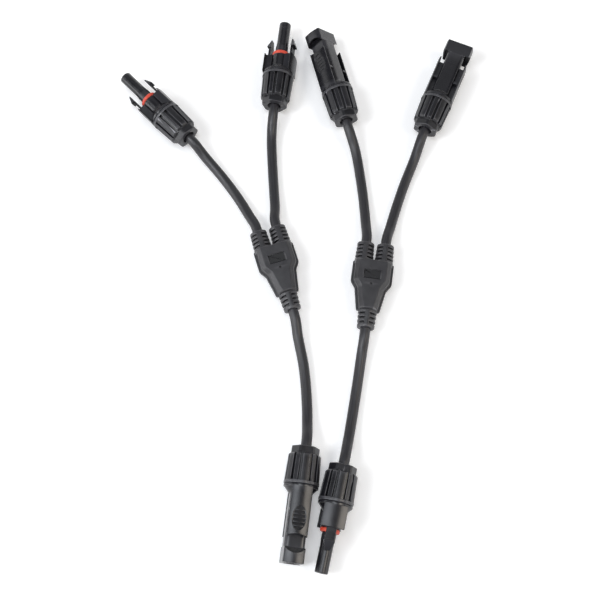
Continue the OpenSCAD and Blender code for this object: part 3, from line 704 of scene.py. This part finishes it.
# the rear of both housings: a threaded tube, the collar that the nut closes on, and a cone
gland = {
    "tubeStart": 8.5, "tubeRadius": 6.95, "threadDepth": 0.42, "threadPitch": 1.5, "threadLead": 0.4,
    "threadStep": 0.22, "threadEnd": 20.9, "boreRadius": 5.45, "collarStart": 21.8, "collarEnd": 23.4,
    "collarRadius": 9.9, "ledge": 0.5, "coneEnd": 27.4, "coneRadius": 5.9,
    "contactRadius": 2.95, "contactEnd": 33.2, "tubeHole": 2.45, "rootIn": 0.2, "plateIn": 0.6,
}


def threadRow(z):
    tube, lead, end, depth = pick(gland, "tubeStart", "threadLead", "threadEnd", "threadDepth")
    start = tube + lead
    fade = smooth(start, start + 1.2, z) * (1 - smooth(end - 1.0, end, z))

    def radius(angle):
        wave = math.cos(2 * math.pi * z / gland["threadPitch"] - angle)
        return gland["tubeRadius"] - depth + depth * fade * (0.5 + 0.5 * max(-1.0, min(1.0, 1.5 * wave)))
    return z, radius


def glandRows():
    tube, end = gland["tubeStart"], gland["threadEnd"]
    root = gland["tubeRadius"] - gland["threadDepth"]
    rows = [(tube, gland["boreRadius"] + 0.3), (tube, root - 0.2), (tube + 0.2, root)]
    z = tube + gland["threadLead"]
    while z < end:
        rows.append(threadRow(z))
        z += gland["threadStep"]
    collar, start, stop = pick(gland, "collarRadius", "collarStart", "collarEnd")
    return rows + [
        (end + 0.1, root), (start - 0.15, root), (start, root + 0.15),
        (start, collar - 0.25), (start + 0.07, collar - 0.08), (start + 0.24, collar),
        (stop - 0.3, collar), (stop - 0.09, collar - 0.08), (stop, collar - 0.28)]


def coneRadius(z):
    start, end = pick(gland, "collarEnd", "coneEnd")
    return mix(gland["collarRadius"] - gland["ledge"], gland["coneRadius"], (z - start) / (end - start))


def glandBore():
    end, start, contact, bore = pick(gland, "contactEnd", "collarStart", "contactRadius", "boreRadius")
    return [(end, gland["tubeHole"]), (end, contact), (start, contact), (start, bore),
            (gland["tubeStart"] + 0.3, bore)]


# the outside of a side plate seen along z, crowned to the given curve
def crownX(crown, y, curve):
    return crown - (curve - math.sqrt(curve ** 2 - y ** 2))


# places across a crowned face, clear of its rounded corners
def crownPlaces(half, clear=0.8, steps=14):
    return [mix(clear - half, half - clear, k / steps) for k in range(steps + 1)]


# a plug: round body and nose, two crowned wings on cheeks, and the seats of the latch arms
plug = {
    "bodyRadius": 5.7, "bodyEnd": 35.8, "grooveRadius": 3.75, "grooveEnd": 38.3, "rootRadius": 4.05,
    "rootEnd": 42.8, "coneEnd": 45.8, "noseRadius": 3.75, "length": 60.3, "noseChamfer": 0.5, "noseHole": 1.6,
    "lip": 2.5, "wingIn": 8.4, "wingCrown": 9.8, "wingCurve": 26.0, "wingWidth": 13.6, "wingEnd": 35.8,
    "wingCorner": 0.3, "seatEnd": 27.9, "seatWidth": 8.2, "roomWidth": 6.2, "seatBack": (4.3, 6.3),
    "seatFloor": (5.8, 8.6), "seatSide": (5.8, 8.7), "seatDepth": 2.3,
    "cheekIn": 4.1, "cheekSpan": (3.2, 4.8), "cheekEnd": 35.4,
}


def plugRows():
    collar, cone, body, end = gland["collarEnd"], gland["coneEnd"], plug["bodyRadius"], plug["bodyEnd"]
    rows = glandRows() + [
        (collar + 0.02, coneRadius(collar)), (cone - 0.25, coneRadius(cone - 0.25)),
        (cone, gland["coneRadius"] - 0.08), (cone + 0.25, body),
        (end - 0.4, body), (end - 0.12, body - 0.1), (end, body - 0.4)]
    groove, grooveEnd, root, rootEnd, nose = pick(
        plug, "grooveRadius", "grooveEnd", "rootRadius", "rootEnd", "noseRadius")
    rows += [
        (end, groove), (grooveEnd, groove), (grooveEnd, root - 0.15), (grooveEnd + 0.15, root),
        (rootEnd - 0.08, root), (rootEnd, root - 0.06), (rootEnd + 0.06, root - 0.14),
        (plug["coneEnd"], nose)]
    tip, cut, hole = pick(plug, "length", "noseChamfer", "noseHole")
    lip = tip - plug["lip"]
    rows += [
        (tip - cut, nose), (tip - 0.5 * cut, nose - 0.2 * cut), (tip - 0.16 * cut, nose - 0.55 * cut),
        (tip, nose - cut), (tip, hole + 0.2), (tip - 0.2, hole), (lip, hole), (lip, gland["tubeHole"])]
    return rows + glandBore()


def wingOutline():
    inner, half, corner = plug["wingIn"], plug["wingWidth"] / 2, plug["wingCorner"]

    def outer(y, radius):
        return crownX(plug["wingCrown"], y, plug["wingCurve"]), y, radius

    return roundCorners([(inner, half, corner), (inner, -half, corner), outer(-half, corner),
                         *(outer(y, 0) for y in crownPlaces(half)), outer(half, corner)], 4)


def makePlugHousing(name):
    half, room = plug["seatWidth"] / 2, plug["roomWidth"] / 2
    low, high = gland["collarEnd"] - gland["rootIn"], plug["seatEnd"]
    wings = [
        roundedBar("wing", wingOutline(), gland["collarEnd"] - gland["plateIn"], plug["wingEnd"], 0.35),
        roundedBlock("seatBack", plug["seatBack"], (-half, half), (low, high), 0.25),
        roundedBlock("seatFloor", plug["seatFloor"], (-half, half), (low, high - plug["seatDepth"]), 0.2),
    ]
    cheekX = (plug["cheekIn"], plug["wingIn"] + 0.3)
    for side in (-1, 1):
        sideY = sorted((side * half, side * room))
        wings.append(roundedBlock("seatSide", plug["seatSide"], sideY, (low, high), 0.2))
        cheekY = sorted(side * y for y in plug["cheekSpan"])
        wings.append(roundedBlock("cheek", cheekX, cheekY, (low, plug["cheekEnd"]), 0.2))
    piece = join(name + "_housing_skin", [turned("core", plugRows(), 96)] + bothSides(wings))
    layDown(piece, connectorPlace(name), connectorPlastic)
    standFor(piece, name + "_housing", bodyOf(name))


# a latch arm: root bead, blade and arrow head
arm = {
    "inner": 6.8, "outer": 8.1, "halfWidth": 2.8, "rootZ": 26.9, "beadRadius": 1.0,
    "barbZ": 42.7, "barbOut": 9.4, "barbHalf": 3.1, "barbRoot": 2.0, "sweep": 0.5,
    "tipZ": 48.1, "tipOut": 7.45, "tipHalf": 1.6,
}


def armRing(z, inner, outer, half, corner):
    return [(p.x, p.y, z) for p in roundedBox((inner, outer), (-half, half), corner)]


def makeLatchArm(name, which):
    inner, outer, half, root = pick(arm, "inner", "outer", "halfWidth", "rootZ")
    barb, barbOut, barbHalf, tip, tipOut, tipHalf = pick(
        arm, "barbZ", "barbOut", "barbHalf", "tipZ", "tipOut", "tipHalf")
    straight = (root, barb - arm["barbRoot"], barb + arm["sweep"])
    rings = [armRing(z, inner, outer, half, 0.2) for z in straight]
    rings += [armRing(barb + 0.02, inner, barbOut - 0.08, barbHalf - 0.06, 0.12),
              armRing(barb + 0.12, inner, barbOut, barbHalf, 0.15),
              armRing(tip - 0.3, inner, tipOut + 0.14, tipHalf + 0.18, 0.15),
              armRing(tip - 0.06, inner + 0.04, tipOut + 0.02, tipHalf + 0.02, 0.15),
              armRing(tip, inner + 0.2, tipOut - 0.16, tipHalf - 0.2, 0.1)]
    r = arm["beadRadius"]
    bead = turned("bead", [(-half, 0.02), (-half, r - 0.15), (-half + 0.15, r),
                           (half - 0.15, r), (half, r - 0.15), (half, 0.02)], 32)
    atRoot = Matrix.Translation(((inner + outer) / 2, 0, root))
    bead.data.transform(atRoot @ Matrix.Rotation(math.pi / 2, 4, "X"))
    node = name + "_latch_arm_" + which
    piece = join(node + "_skin", [loft("blade", rings), bead])
    place = connectorPlace(name)
    if which == "b":
        place = place @ Matrix.Rotation(math.pi, 4, "Z")
    layDown(piece, place, connectorPlastic)
    standFor(piece, node, node)


# the red seal ring at the root of the nose
ring = {"outer": 5.6, "inner": 3.8, "start": 35.85, "end": 38.25, "round": 0.9, "innerRound": 0.7}


def makeSealRing(name):
    inner, outer, low, high, edge, innerEdge = pick(
        ring, "inner", "outer", "start", "end", "round", "innerRound")
    corners = [(inner, low, innerEdge), (outer, low, edge), (outer, high, edge), (inner, high, innerEdge)]
    rows = [(point.y, point.x) for point in roundCorners(corners, 7)]
    piece = turned(name + "_seal_ring_skin", rows, 80)
    layDown(piece, connectorPlace(name), sealRed)
    standFor(piece, name + "_seal_ring", bodyOf(name))


for name, spec in connectors.items():
    if spec["kind"] == "plug":
        makePlugHousing(name)
        makeLatchArm(name, "a")
        makeLatchArm(name, "b")
        makeSealRing(name)
print("plugs made")


# a socket: squared tube, two side shells with thumb grips, and the head with its windows
socket = {
    "tubeHalf": 5.55, "bodyHalf": 5.9, "corner": 7.2, "cornerPower": 24, "mateStart": 42.5, "mateStep": 56.0,
    "deepRadius": 4.05, "mateRadius": 4.35, "tubeEnd": 57.6, "curve": 18.0,
    "shellIn": 7.95, "shellCrown": 9.75, "shellEnd": 50.5, "shellSag": 1.4, "shellColumns": 64,
    "frontStart": 47.6,
    "frontSteps": [(0.5, 0, 0), (1, 0.25, 0), (1, 0.1, 0.03), (1, 0.02, 0.1), (1, 0, 0.2)],
    "headStart": 56.1, "headIn": 0.3, "headSag": 3.0, "headCrown": 9.05, "headCorner": 0.5, "length": 64.5,
    "channelHalf": 3.6, "mouthFlare": 0.6, "windowSides": 120, "cutStart": 50, "cutOut": 14.0,
    "webAt": 35.0, "webThickness": 1.4, "spineHalf": 2.5, "spineEnd": 48.5,
    "gripMiddle": 40.4, "gripLength": 13, "gripWidth": 7.6, "gripDepth": 0.5,
    "gripRibs": 5, "gripRibWidth": 0.9, "ribReach": 0.94, "ribDrop": 0.36, "ribCurve": 2.2, "ribSteps": 16,
}


def squareRadius(angle):
    sides = [socket["tubeHalf"] / max(abs(math.cos(angle)), 1e-6),
             socket["bodyHalf"] / max(abs(math.sin(angle)), 1e-6), socket["corner"]]
    return sum(side ** -socket["cornerPower"] for side in sides) ** (-1 / socket["cornerPower"])


def socketRows():
    rows = glandRows()
    for z in (gland["collarEnd"] + 0.02, 24.0, 24.6, 25.2, 25.8, 26.4, 27.0, 27.4):
        rows.append((z, lambda angle, z=z: max(coneRadius(z), squareRadius(angle))))
    end, mate, step, deep, start = pick(
        socket, "tubeEnd", "mateRadius", "mateStep", "deepRadius", "mateStart")
    rows += [(z, squareRadius) for z in (27.6, 34.0, 42.0, 50.0, end)]
    rows += [(end, mate), (step, mate), (step, deep), (start, deep), (start, gland["tubeHole"])]
    return rows + glandBore()


# half the width of the grip's dish at a height, below zero outside it
def dishHalf(z):
    length, width = socket["gripLength"], socket["gripWidth"]
    off = abs(z - socket["gripMiddle"])
    if off >= length / 2:
        return -0.5 * (off - length / 2) - 0.001
    return width / 2 * math.sqrt(1 - (2 * off / length) ** 2)


# outside of a shell, with the thumb grip sunk into its crown
def shellX(y, z):
    plain = crownX(socket["shellCrown"], y, socket["curve"])
    sunk = smooth(-0.16, 0.22, dishHalf(z) - abs(y))
    return mix(plain, min(plain, socket["shellCrown"] - socket["gripDepth"]) - 0.06, sunk)


def makeShell():
    half, back, front = pick(socket, "bodyHalf", "shellIn", "frontStart")
    ys = crownPlaces(half, 0.22, socket["shellColumns"])
    zs = [gland["collarEnd"] - gland["plateIn"], 26.0, 29.0, 32.0, 33.4]
    zs += [33.6 + 0.2 * k for k in range(69)] + [front]   # close together over the grip
    lastX = crownX(socket["shellCrown"], half, socket["curve"])
    edge = [(lastX - 0.03, half - 0.07), (lastX - 0.13, half - 0.015),
            (back + 0.16, half), (back + 0.05, half - 0.06)]

    def section(z, shrink, level):
        narrow = 1 - shrink / half
        outer = [(shellX(y, z) - shrink, y * narrow, level(y)) for y in ys]
        inner = [(back + shrink, y * narrow, level(y)) for y in reversed(ys)]
        upper = [(mix(x, (lastX + back) / 2, shrink), y - shrink, level(half)) for x, y in edge]
        return outer + upper + inner + [(x, -y, level(-y)) for x, y, _ in reversed(upper)]

    def frontLevel(share, behind):
        reach = socket["shellEnd"] - front
        return lambda y: front + (reach - socket["shellSag"] * (1 - (y / half) ** 2)) * share - behind

    rings = [section(z, 0.0, lambda y, z=z: z) for z in zs]
    for share, behind, shrink in socket["frontSteps"]:
        rings.append(section(front, shrink, frontLevel(share, behind)))
    piece = loft("shell", rings, capStart=False, capEnd=False)
    count, columns, turn = len(rings[0]), len(ys), len(ys) + len(edge)
    work = bmesh.new()
    work.from_mesh(piece.data)
    work.verts.ensure_lookup_table()
    for start in (0, (len(rings) - 1) * count):   # both ends are closed in strips
        rim = [work.verts[start + j] for j in range(count)]
        outer, upper = rim[:columns], rim[columns:turn]
        inner, lower = rim[turn:turn + columns][::-1], rim[turn + columns:]
        for j in range(columns - 1):
            work.faces.new((outer[j], outer[j + 1], inner[j + 1], inner[j]))
        work.faces.new([outer[-1]] + upper + [inner[-1]])
        work.faces.new([inner[0]] + lower + [outer[0]])
    work.to_mesh(piece.data)
    work.free()
    return piece


# the cross ribs of a thumb grip: one bar is drawn, and the tree sets a row of them,
# each as long as the dish is wide there
def buildRibTree():
    tree, given, result = newTree("gripRibRow", {
        "Count": "NodeSocketInt", "Step": "NodeSocketFloat", "Half Length": "NodeSocketFloat",
        "Half Width": "NodeSocketFloat", "Finish": "NodeSocketMaterial"})
    count = given.outputs["Count"]
    spots = addNode(tree, "GeometryNodePoints", links={"Count": count})
    index = addNode(tree, "GeometryNodeInputIndex").outputs["Index"]
    middle = calc(tree, "MULTIPLY", calc(tree, "SUBTRACT", count, 1), 0.5)
    along = calc(tree, "MULTIPLY", calc(tree, "SUBTRACT", index, middle), given.outputs["Step"])
    share = calc(tree, "DIVIDE", along, given.outputs["Half Length"])
    chord = calc(tree, "SQRT", calc(tree, "SUBTRACT", 1, calc(tree, "MULTIPLY", share, share)))
    reach = calc(tree, "MULTIPLY", chord, given.outputs["Half Width"])
    place = addNode(tree, "ShaderNodeCombineXYZ", links={"Z": along})
    size = addNode(tree, "ShaderNodeCombineXYZ", {"X": 1.0, "Z": 1.0}, {"Y": reach})
    row = addNode(tree, "GeometryNodeSetPosition", links={
        "Geometry": spots.outputs["Points"], "Offset": place.outputs["Vector"]})
    inRow = {"Points": row.outputs["Geometry"], "Scale": size.outputs["Vector"]}
    return endTree(tree, given, result, inRow)


ribTree = buildRibTree()


def makeGripRibs():
    length, width, count, steps, reach = pick(
        socket, "gripLength", "gripWidth", "gripRibs", "ribSteps", "ribReach")
    half = socket["gripRibWidth"] / 2
    floor, top = socket["shellCrown"] - socket["gripDepth"] - 0.25, socket["shellCrown"] - 0.1
    profile = roundCorners([(floor, -half, 0), (top, -half, 0.3), (top, half, 0.3), (floor, half, 0)], 4)
    rings = []
    for k in range(steps + 1):
        y = mix(-reach, reach, k / steps)
        drop = socket["ribDrop"] * abs(y) ** socket["ribCurve"]   # the rib runs out into the shell's crown
        rings.append([(p.x - (drop if p.x > floor + 0.01 else 0), y, p.y) for p in profile])
    bar = loft("gripRib", rings)
    runTree(bar, ribTree, {"Count": count, "Step": length / (count + 1), "Half Length": length / 2,
                           "Half Width": width / 2, "Finish": connectorPlastic})
    bar.data.transform(Matrix.Translation((0, 0, socket["gripMiddle"])))
    return bar


# the square head, with the mating bore, the latch channels and the curved ends of the windows cut away
def makeHead():
    half, end, tube, start, sag = pick(socket, "bodyHalf", "length", "tubeHalf", "headStart", "headSag")
    corners = []
    for side in (1, -1):
        def outer(y, radius):
            return side * crownX(socket["headCrown"], y, socket["curve"]), y * side, radius
        corners += [outer(-half, socket["headCorner"]), *(outer(y, 0) for y in crownPlaces(half)),
                    outer(half, socket["headCorner"])]
    block = roundedBar("head", roundCorners(corners, 4), start - socket["headIn"], end, 0.35)
    clean(block)
    bore, low = socket["mateRadius"], socket["cutStart"]
    flare = bore + socket["mouthFlare"]
    mouth = turned("mouthCut", [(low, 0.01), (low, bore), (end - 0.4, bore), (end + 0.2, flare),
                                (end + 2, flare), (end + 2, 0.01)], 96)
    clean(mouth, merge=0.02)
    cutters = [mouth]
    sagRadius = (half ** 2 + sag ** 2) / (2 * sag)
    middle = start + sag - sagRadius
    turns = [2 * math.pi * k / socket["windowSides"] for k in range(socket["windowSides"])]
    arc = [Vector((sagRadius * math.cos(turn), sagRadius * math.sin(turn))) for turn in turns]
    channelY = (-socket["channelHalf"], socket["channelHalf"])
    for side in (1, -1):
        channelX = sorted((side * (tube + 0.01), side * socket["shellIn"]))
        channel = roundedBlock("channelCut", channelX, channelY, (low, end + 3), 0.3)
        rings = [[(side * x, p.x, middle + p.y) for p in arc] for x in (tube, socket["cutOut"])]
        for cutter in (channel, loft("windowCut", rings)):
            clean(cutter, merge=0.0001)
            cutters.append(cutter)
    cutAway(block, cutters)
    return block


def makeSocketHousing(name):
    half, spine, web = socket["bodyHalf"] - 0.1, socket["spineHalf"], socket["webAt"]
    across = (socket["tubeHalf"] - 0.2, socket["shellIn"] + 0.2)
    spineZ = (gland["collarEnd"] - gland["rootIn"], socket["spineEnd"])
    sides = [
        makeShell(), makeGripRibs(),
        roundedBlock("crossWeb", across, (-half, half), (web, web + socket["webThickness"]), 0.2),
        roundedBlock("spine", across, (-spine, spine), spineZ, 0.2),
    ]
    middle = [turned("core", socketRows(), 120), makeHead()]
    piece = join(name + "_housing_skin", middle + bothSides(sides))
    layDown(piece, connectorPlace(name), connectorPlastic)
    standFor(piece, name + "_housing", bodyOf(name))


for name, spec in connectors.items():
    if spec["kind"] == "socket":
        makeSocketHousing(name)
print("sockets made")


# half the width of the moulding along its length
def mouldHalf(x):
    shoulder, waist, end, start, stop = pick(
        moulding, "shoulderWidth", "waistWidth", "endWidth", "shoulderAt", "waistAt")
    if x <= start:
        return shoulder / 2
    if x < stop:
        return mix(shoulder, waist, (1 - math.cos(math.pi * (x - start) / (stop - start))) / 2) / 2
    return mix(waist, end, (x - stop) / (moulding["length"] - stop)) / 2


def mouldRing(x):
    spec = moulding
    near = max(0.0, spec["endRound"] - min(x, spec["length"] - x)) / spec["endRound"]
    drop = spec["endRound"] * (1 - math.sqrt(max(0.0, 1 - near ** 2)))
    high = spec["height"] / 2 - drop
    lip = mouldHalf(x) - drop / 2
    wall = lip - spec["lipWidth"]
    top = wall - spec["bevelWidth"]
    t = spec["lipThickness"] / 2
    side = [(lip, t, 0.35), (wall, t, 0.3), (wall - spec["lipWidth"] / 2, high - spec["bevelHeight"], 1.0),
            (top, high, 1.1), (top * spec["topSplit"], high, 0)]
    corners = side + [(-y, z, r) for y, z, r in reversed(side)] + [(-y, -z, r) for y, z, r in side]
    corners += [(y, -z, r) for y, z, r in reversed(side)]
    return [(x, p.x, p.y) for p in roundCorners(corners, 5)]


# a boot with grooves that stop at the spines on both sides
def makeBoot(length, count):
    root, end, hole = pick(boot, "rootRadius", "endRadius", "holeRadius")

    def grooved(z, depth):
        full = mix(root, end, max(z, 0) / length)

        def radius(angle):
            off = abs(full * math.cos(angle)) - boot["spineWidth"] / 2
            return mix(full, boot["floorRadius"], depth * smooth(-0.12, 0.25, off))
        return z, radius

    rows = [(-boot["sunkRoot"], hole), (-boot["sunkRoot"], root), (0.0, root)]
    wall = [(-0.32, 0.0), (-0.12, 0.04), (-0.02, 0.18), (0.03, 0.75), (0.14, 1.0)]   # way in, and depth
    for i in range(1, count + 1):
        stop = i * length / (count + boot["endShare"])
        rows += [grooved(stop - boot["grooveWidth"] + off, depth) for off, depth in wall]
        rows += [grooved(stop - off, depth) for off, depth in reversed(wall)]
    rows += [(length - 0.45, end), (length - 0.13, end - 0.13), (length, end - 0.45),
             (length, hole + 0.15), (length - 0.15, hole)]
    return turned("boot", rows, 128)


def makeMouldBody():
    spec = moulding
    ends = [0.0, 0.04, 0.13, 0.27, 0.46, 0.7, 1.0]
    stations = ends + [3.5, 6.0, 8.5, 10.5, 11.4]
    start, stop, steps = pick(spec, "shoulderAt", "waistAt", "waistSteps")
    stations += [mix(start, stop, k / steps) for k in range(steps + 1)]
    stations += [19.6, 21.0, 24.0, 27.0] + [spec["length"] - x for x in reversed(ends)]
    body = loft("mould", [mouldRing(x) for x in stations])
    top = spec["height"] / 2
    floor, gateRadius = top - spec["recess"], spec["gateDiameter"] / 2
    labelX = (spec["labelAt"] - spec["labelWidth"] / 2, spec["labelAt"] + spec["labelWidth"] / 2)
    labelY = (-spec["labelLength"] / 2, spec["labelLength"] / 2)
    label = roundedBlock("labelCut", labelX, labelY, (floor, top + 2), 0.3)
    gate = turned("gateCut", [(floor, 0.3), (floor, gateRadius - 0.15), (floor + 0.15, gateRadius),
                              (top + 2, gateRadius), (top + 2, 0.3)], 40, closed=False)
    gate.data.transform(Matrix.Translation((spec["gateAt"], 0, 0)))
    for part in (body, label, gate):
        clean(part, fill=True)
    cutAway(body, [label, gate])
    work = bmesh.new()
    work.from_mesh(body.data)
    floors = [face for face in work.faces
              if face.normal.z > 0.99 and abs(face.calc_center_median().z - floor) < 0.01]
    for k in range(spec["floorRings"]):   # rings of faces keep the painted edge highlight off the floors
        bmesh.ops.inset_individual(work, faces=floors, thickness=0.15)
    field = work.verts.layers.float.new("sunkField")
    for vert in {vert for face in floors for vert in face.verts}:
        vert[field] = 1.0
    work.to_mesh(body.data)
    work.free()
    return body


def makeMoulding(branch):
    parts = [makeMouldBody()]
    quarter = math.pi / 2
    for port in (0, 1, 2):
        length, grooves, x, way = boot["length"], boot["grooves"], 0, -quarter
        if port == 2:
            length, grooves, x, way = boot["tailLength"], boot["tailGrooves"], moulding["length"], quarter
        made = makeBoot(length, grooves)
        turn = Matrix.Rotation(way, 4, "Y") @ Matrix.Rotation(quarter, 4, "Z")
        made.data.transform(Matrix.Translation((x, portSide(port), 0)) @ turn)
        parts.append(made)
    piece = join(branch + "_moulding_skin", parts)
    layDown(piece, branchPlace(branch), mouldingPlastic, sharp=24)
    standFor(piece, branch + "_moulding", branch + "_branch")


for branch in branches:
    makeMoulding(branch)
print("mouldings made")


# pieces inside the connectors and mouldings keep their solids
innerFinishes = {
    "_contact": contactMetal, "_contact_clip": contactMetal, "_gland_seal": glandRubber,
    "_clamp_ring": clampPlastic, "_splice": copper, "_cores": copper,
}
for name, node in nodes.items():
    for ending, finish in innerFinishes.items():
        if name.endswith(ending):
            node.data.materials.clear()
            node.data.materials.append(finish)
print("inner pieces dressed")


# a pale table that curves up far behind the pieces and keeps their shadows, and soft light from both sides
studio = {
    "cove": [(2.0, 0.0), (2.3, 0.03), (2.6, 0.14), (2.85, 0.36), (3.0, 0.7), (3.05, 1.6)],   # radius, height
    "coveSides": 96, "below": 0.0002, "sky": (0.92, 0.95, 1.0), "skyStrength": 0.12,
    "shade": 0.85, "edges": (0.6, 2.0), "glows": (0.3, 0.9),   # the glow grows from the near to the far edge
}

# lamps: place, size, power and colour
lamps = {
    "leftSoftbox": [(-1.0, -0.3, 1.3), (0.6, 0.6), 14.5, (0.95, 0.97, 1.0)],
    "overheadPanel": [(-0.12, -0.1, 1.6), (0.8, 0.5), 7.5, (0.9, 0.94, 1.0)],
    "rightSoftbox": [(1.0, -0.15, 1.35), (0.5, 0.7), 7.5, (1.0, 0.92, 0.82)],
    "farPanel": [(0.0, 1.3, 1.7), (1.6, 1.0), 2.5, (0.96, 0.97, 1.0)],
    "leftCard": [(-1.7, -0.35, 0.4), (1.2, 0.6), 8.0, (0.96, 0.97, 1.0)],
    "rightCard": [(1.7, -0.35, 0.4), (1.0, 0.5), 3.0, (1.0, 0.93, 0.84)],
}


# matt white, with a glow that only the camera, reflections and clear pieces see, stronger far away
def tableFinish():
    finish = bpy.data.materials.new("tableWhite")
    finish.use_nodes = True
    tree = finish.node_tree
    tree.nodes.clear()
    shade = studio["shade"]
    matt = addNode(tree, "ShaderNodeBsdfDiffuse", {"Color": (shade, shade, shade, 1)})
    ray = addNode(tree, "ShaderNodeLightPath").outputs
    seen = calc(tree, "MAXIMUM", ray["Is Camera Ray"], ray["Is Glossy Ray"])
    seen = calc(tree, "MAXIMUM", seen, ray["Is Transmission Ray"])
    away = addNode(tree, "ShaderNodeVectorMath", links={0: objectCoords(tree)}, operation="LENGTH")
    level = remap(tree, away.outputs["Value"], studio["edges"], studio["glows"])
    glow = addNode(tree, "ShaderNodeEmission", links={"Strength": calc(tree, "MULTIPLY", seen, level)})
    both = addNode(tree, "ShaderNodeAddShader", links={0: matt.outputs["BSDF"], 1: glow.outputs["Emission"]})
    addNode(tree, "ShaderNodeOutputMaterial", links={"Surface": both.outputs["Shader"]})
    return finish


def makeStudio():
    turns = [2 * math.pi * j / studio["coveSides"] for j in range(studio["coveSides"])]
    rings = []
    for r, z in studio["cove"]:
        rings.append([(r * math.cos(turn), r * math.sin(turn), z - studio["below"]) for turn in turns])
    table = loft("table", rings, capEnd=False)
    table.data.shade_smooth()
    table.data.materials.append(tableFinish())
    world = bpy.data.worlds.new("studio")
    world.use_nodes = True
    scene.world = world
    tree = world.node_tree
    tree.nodes.clear()
    values = {"Color": (*studio["sky"], 1), "Strength": studio["skyStrength"]}
    sky = addNode(tree, "ShaderNodeBackground", values)
    addNode(tree, "ShaderNodeOutputWorld", links={"Surface": sky.outputs["Background"]})
    for name, (place, size, power, colour) in lamps.items():
        light = bpy.data.lights.new(name, "AREA")
        light.shape = "RECTANGLE"
        light.size, light.size_y = size
        light.energy = power
        light.color = colour
        holder = addObject(name, light)
        holder.location = place
        aim(holder, (0, 0, 0))
        holder.visible_camera = False


makeStudio()
print("studio lit")
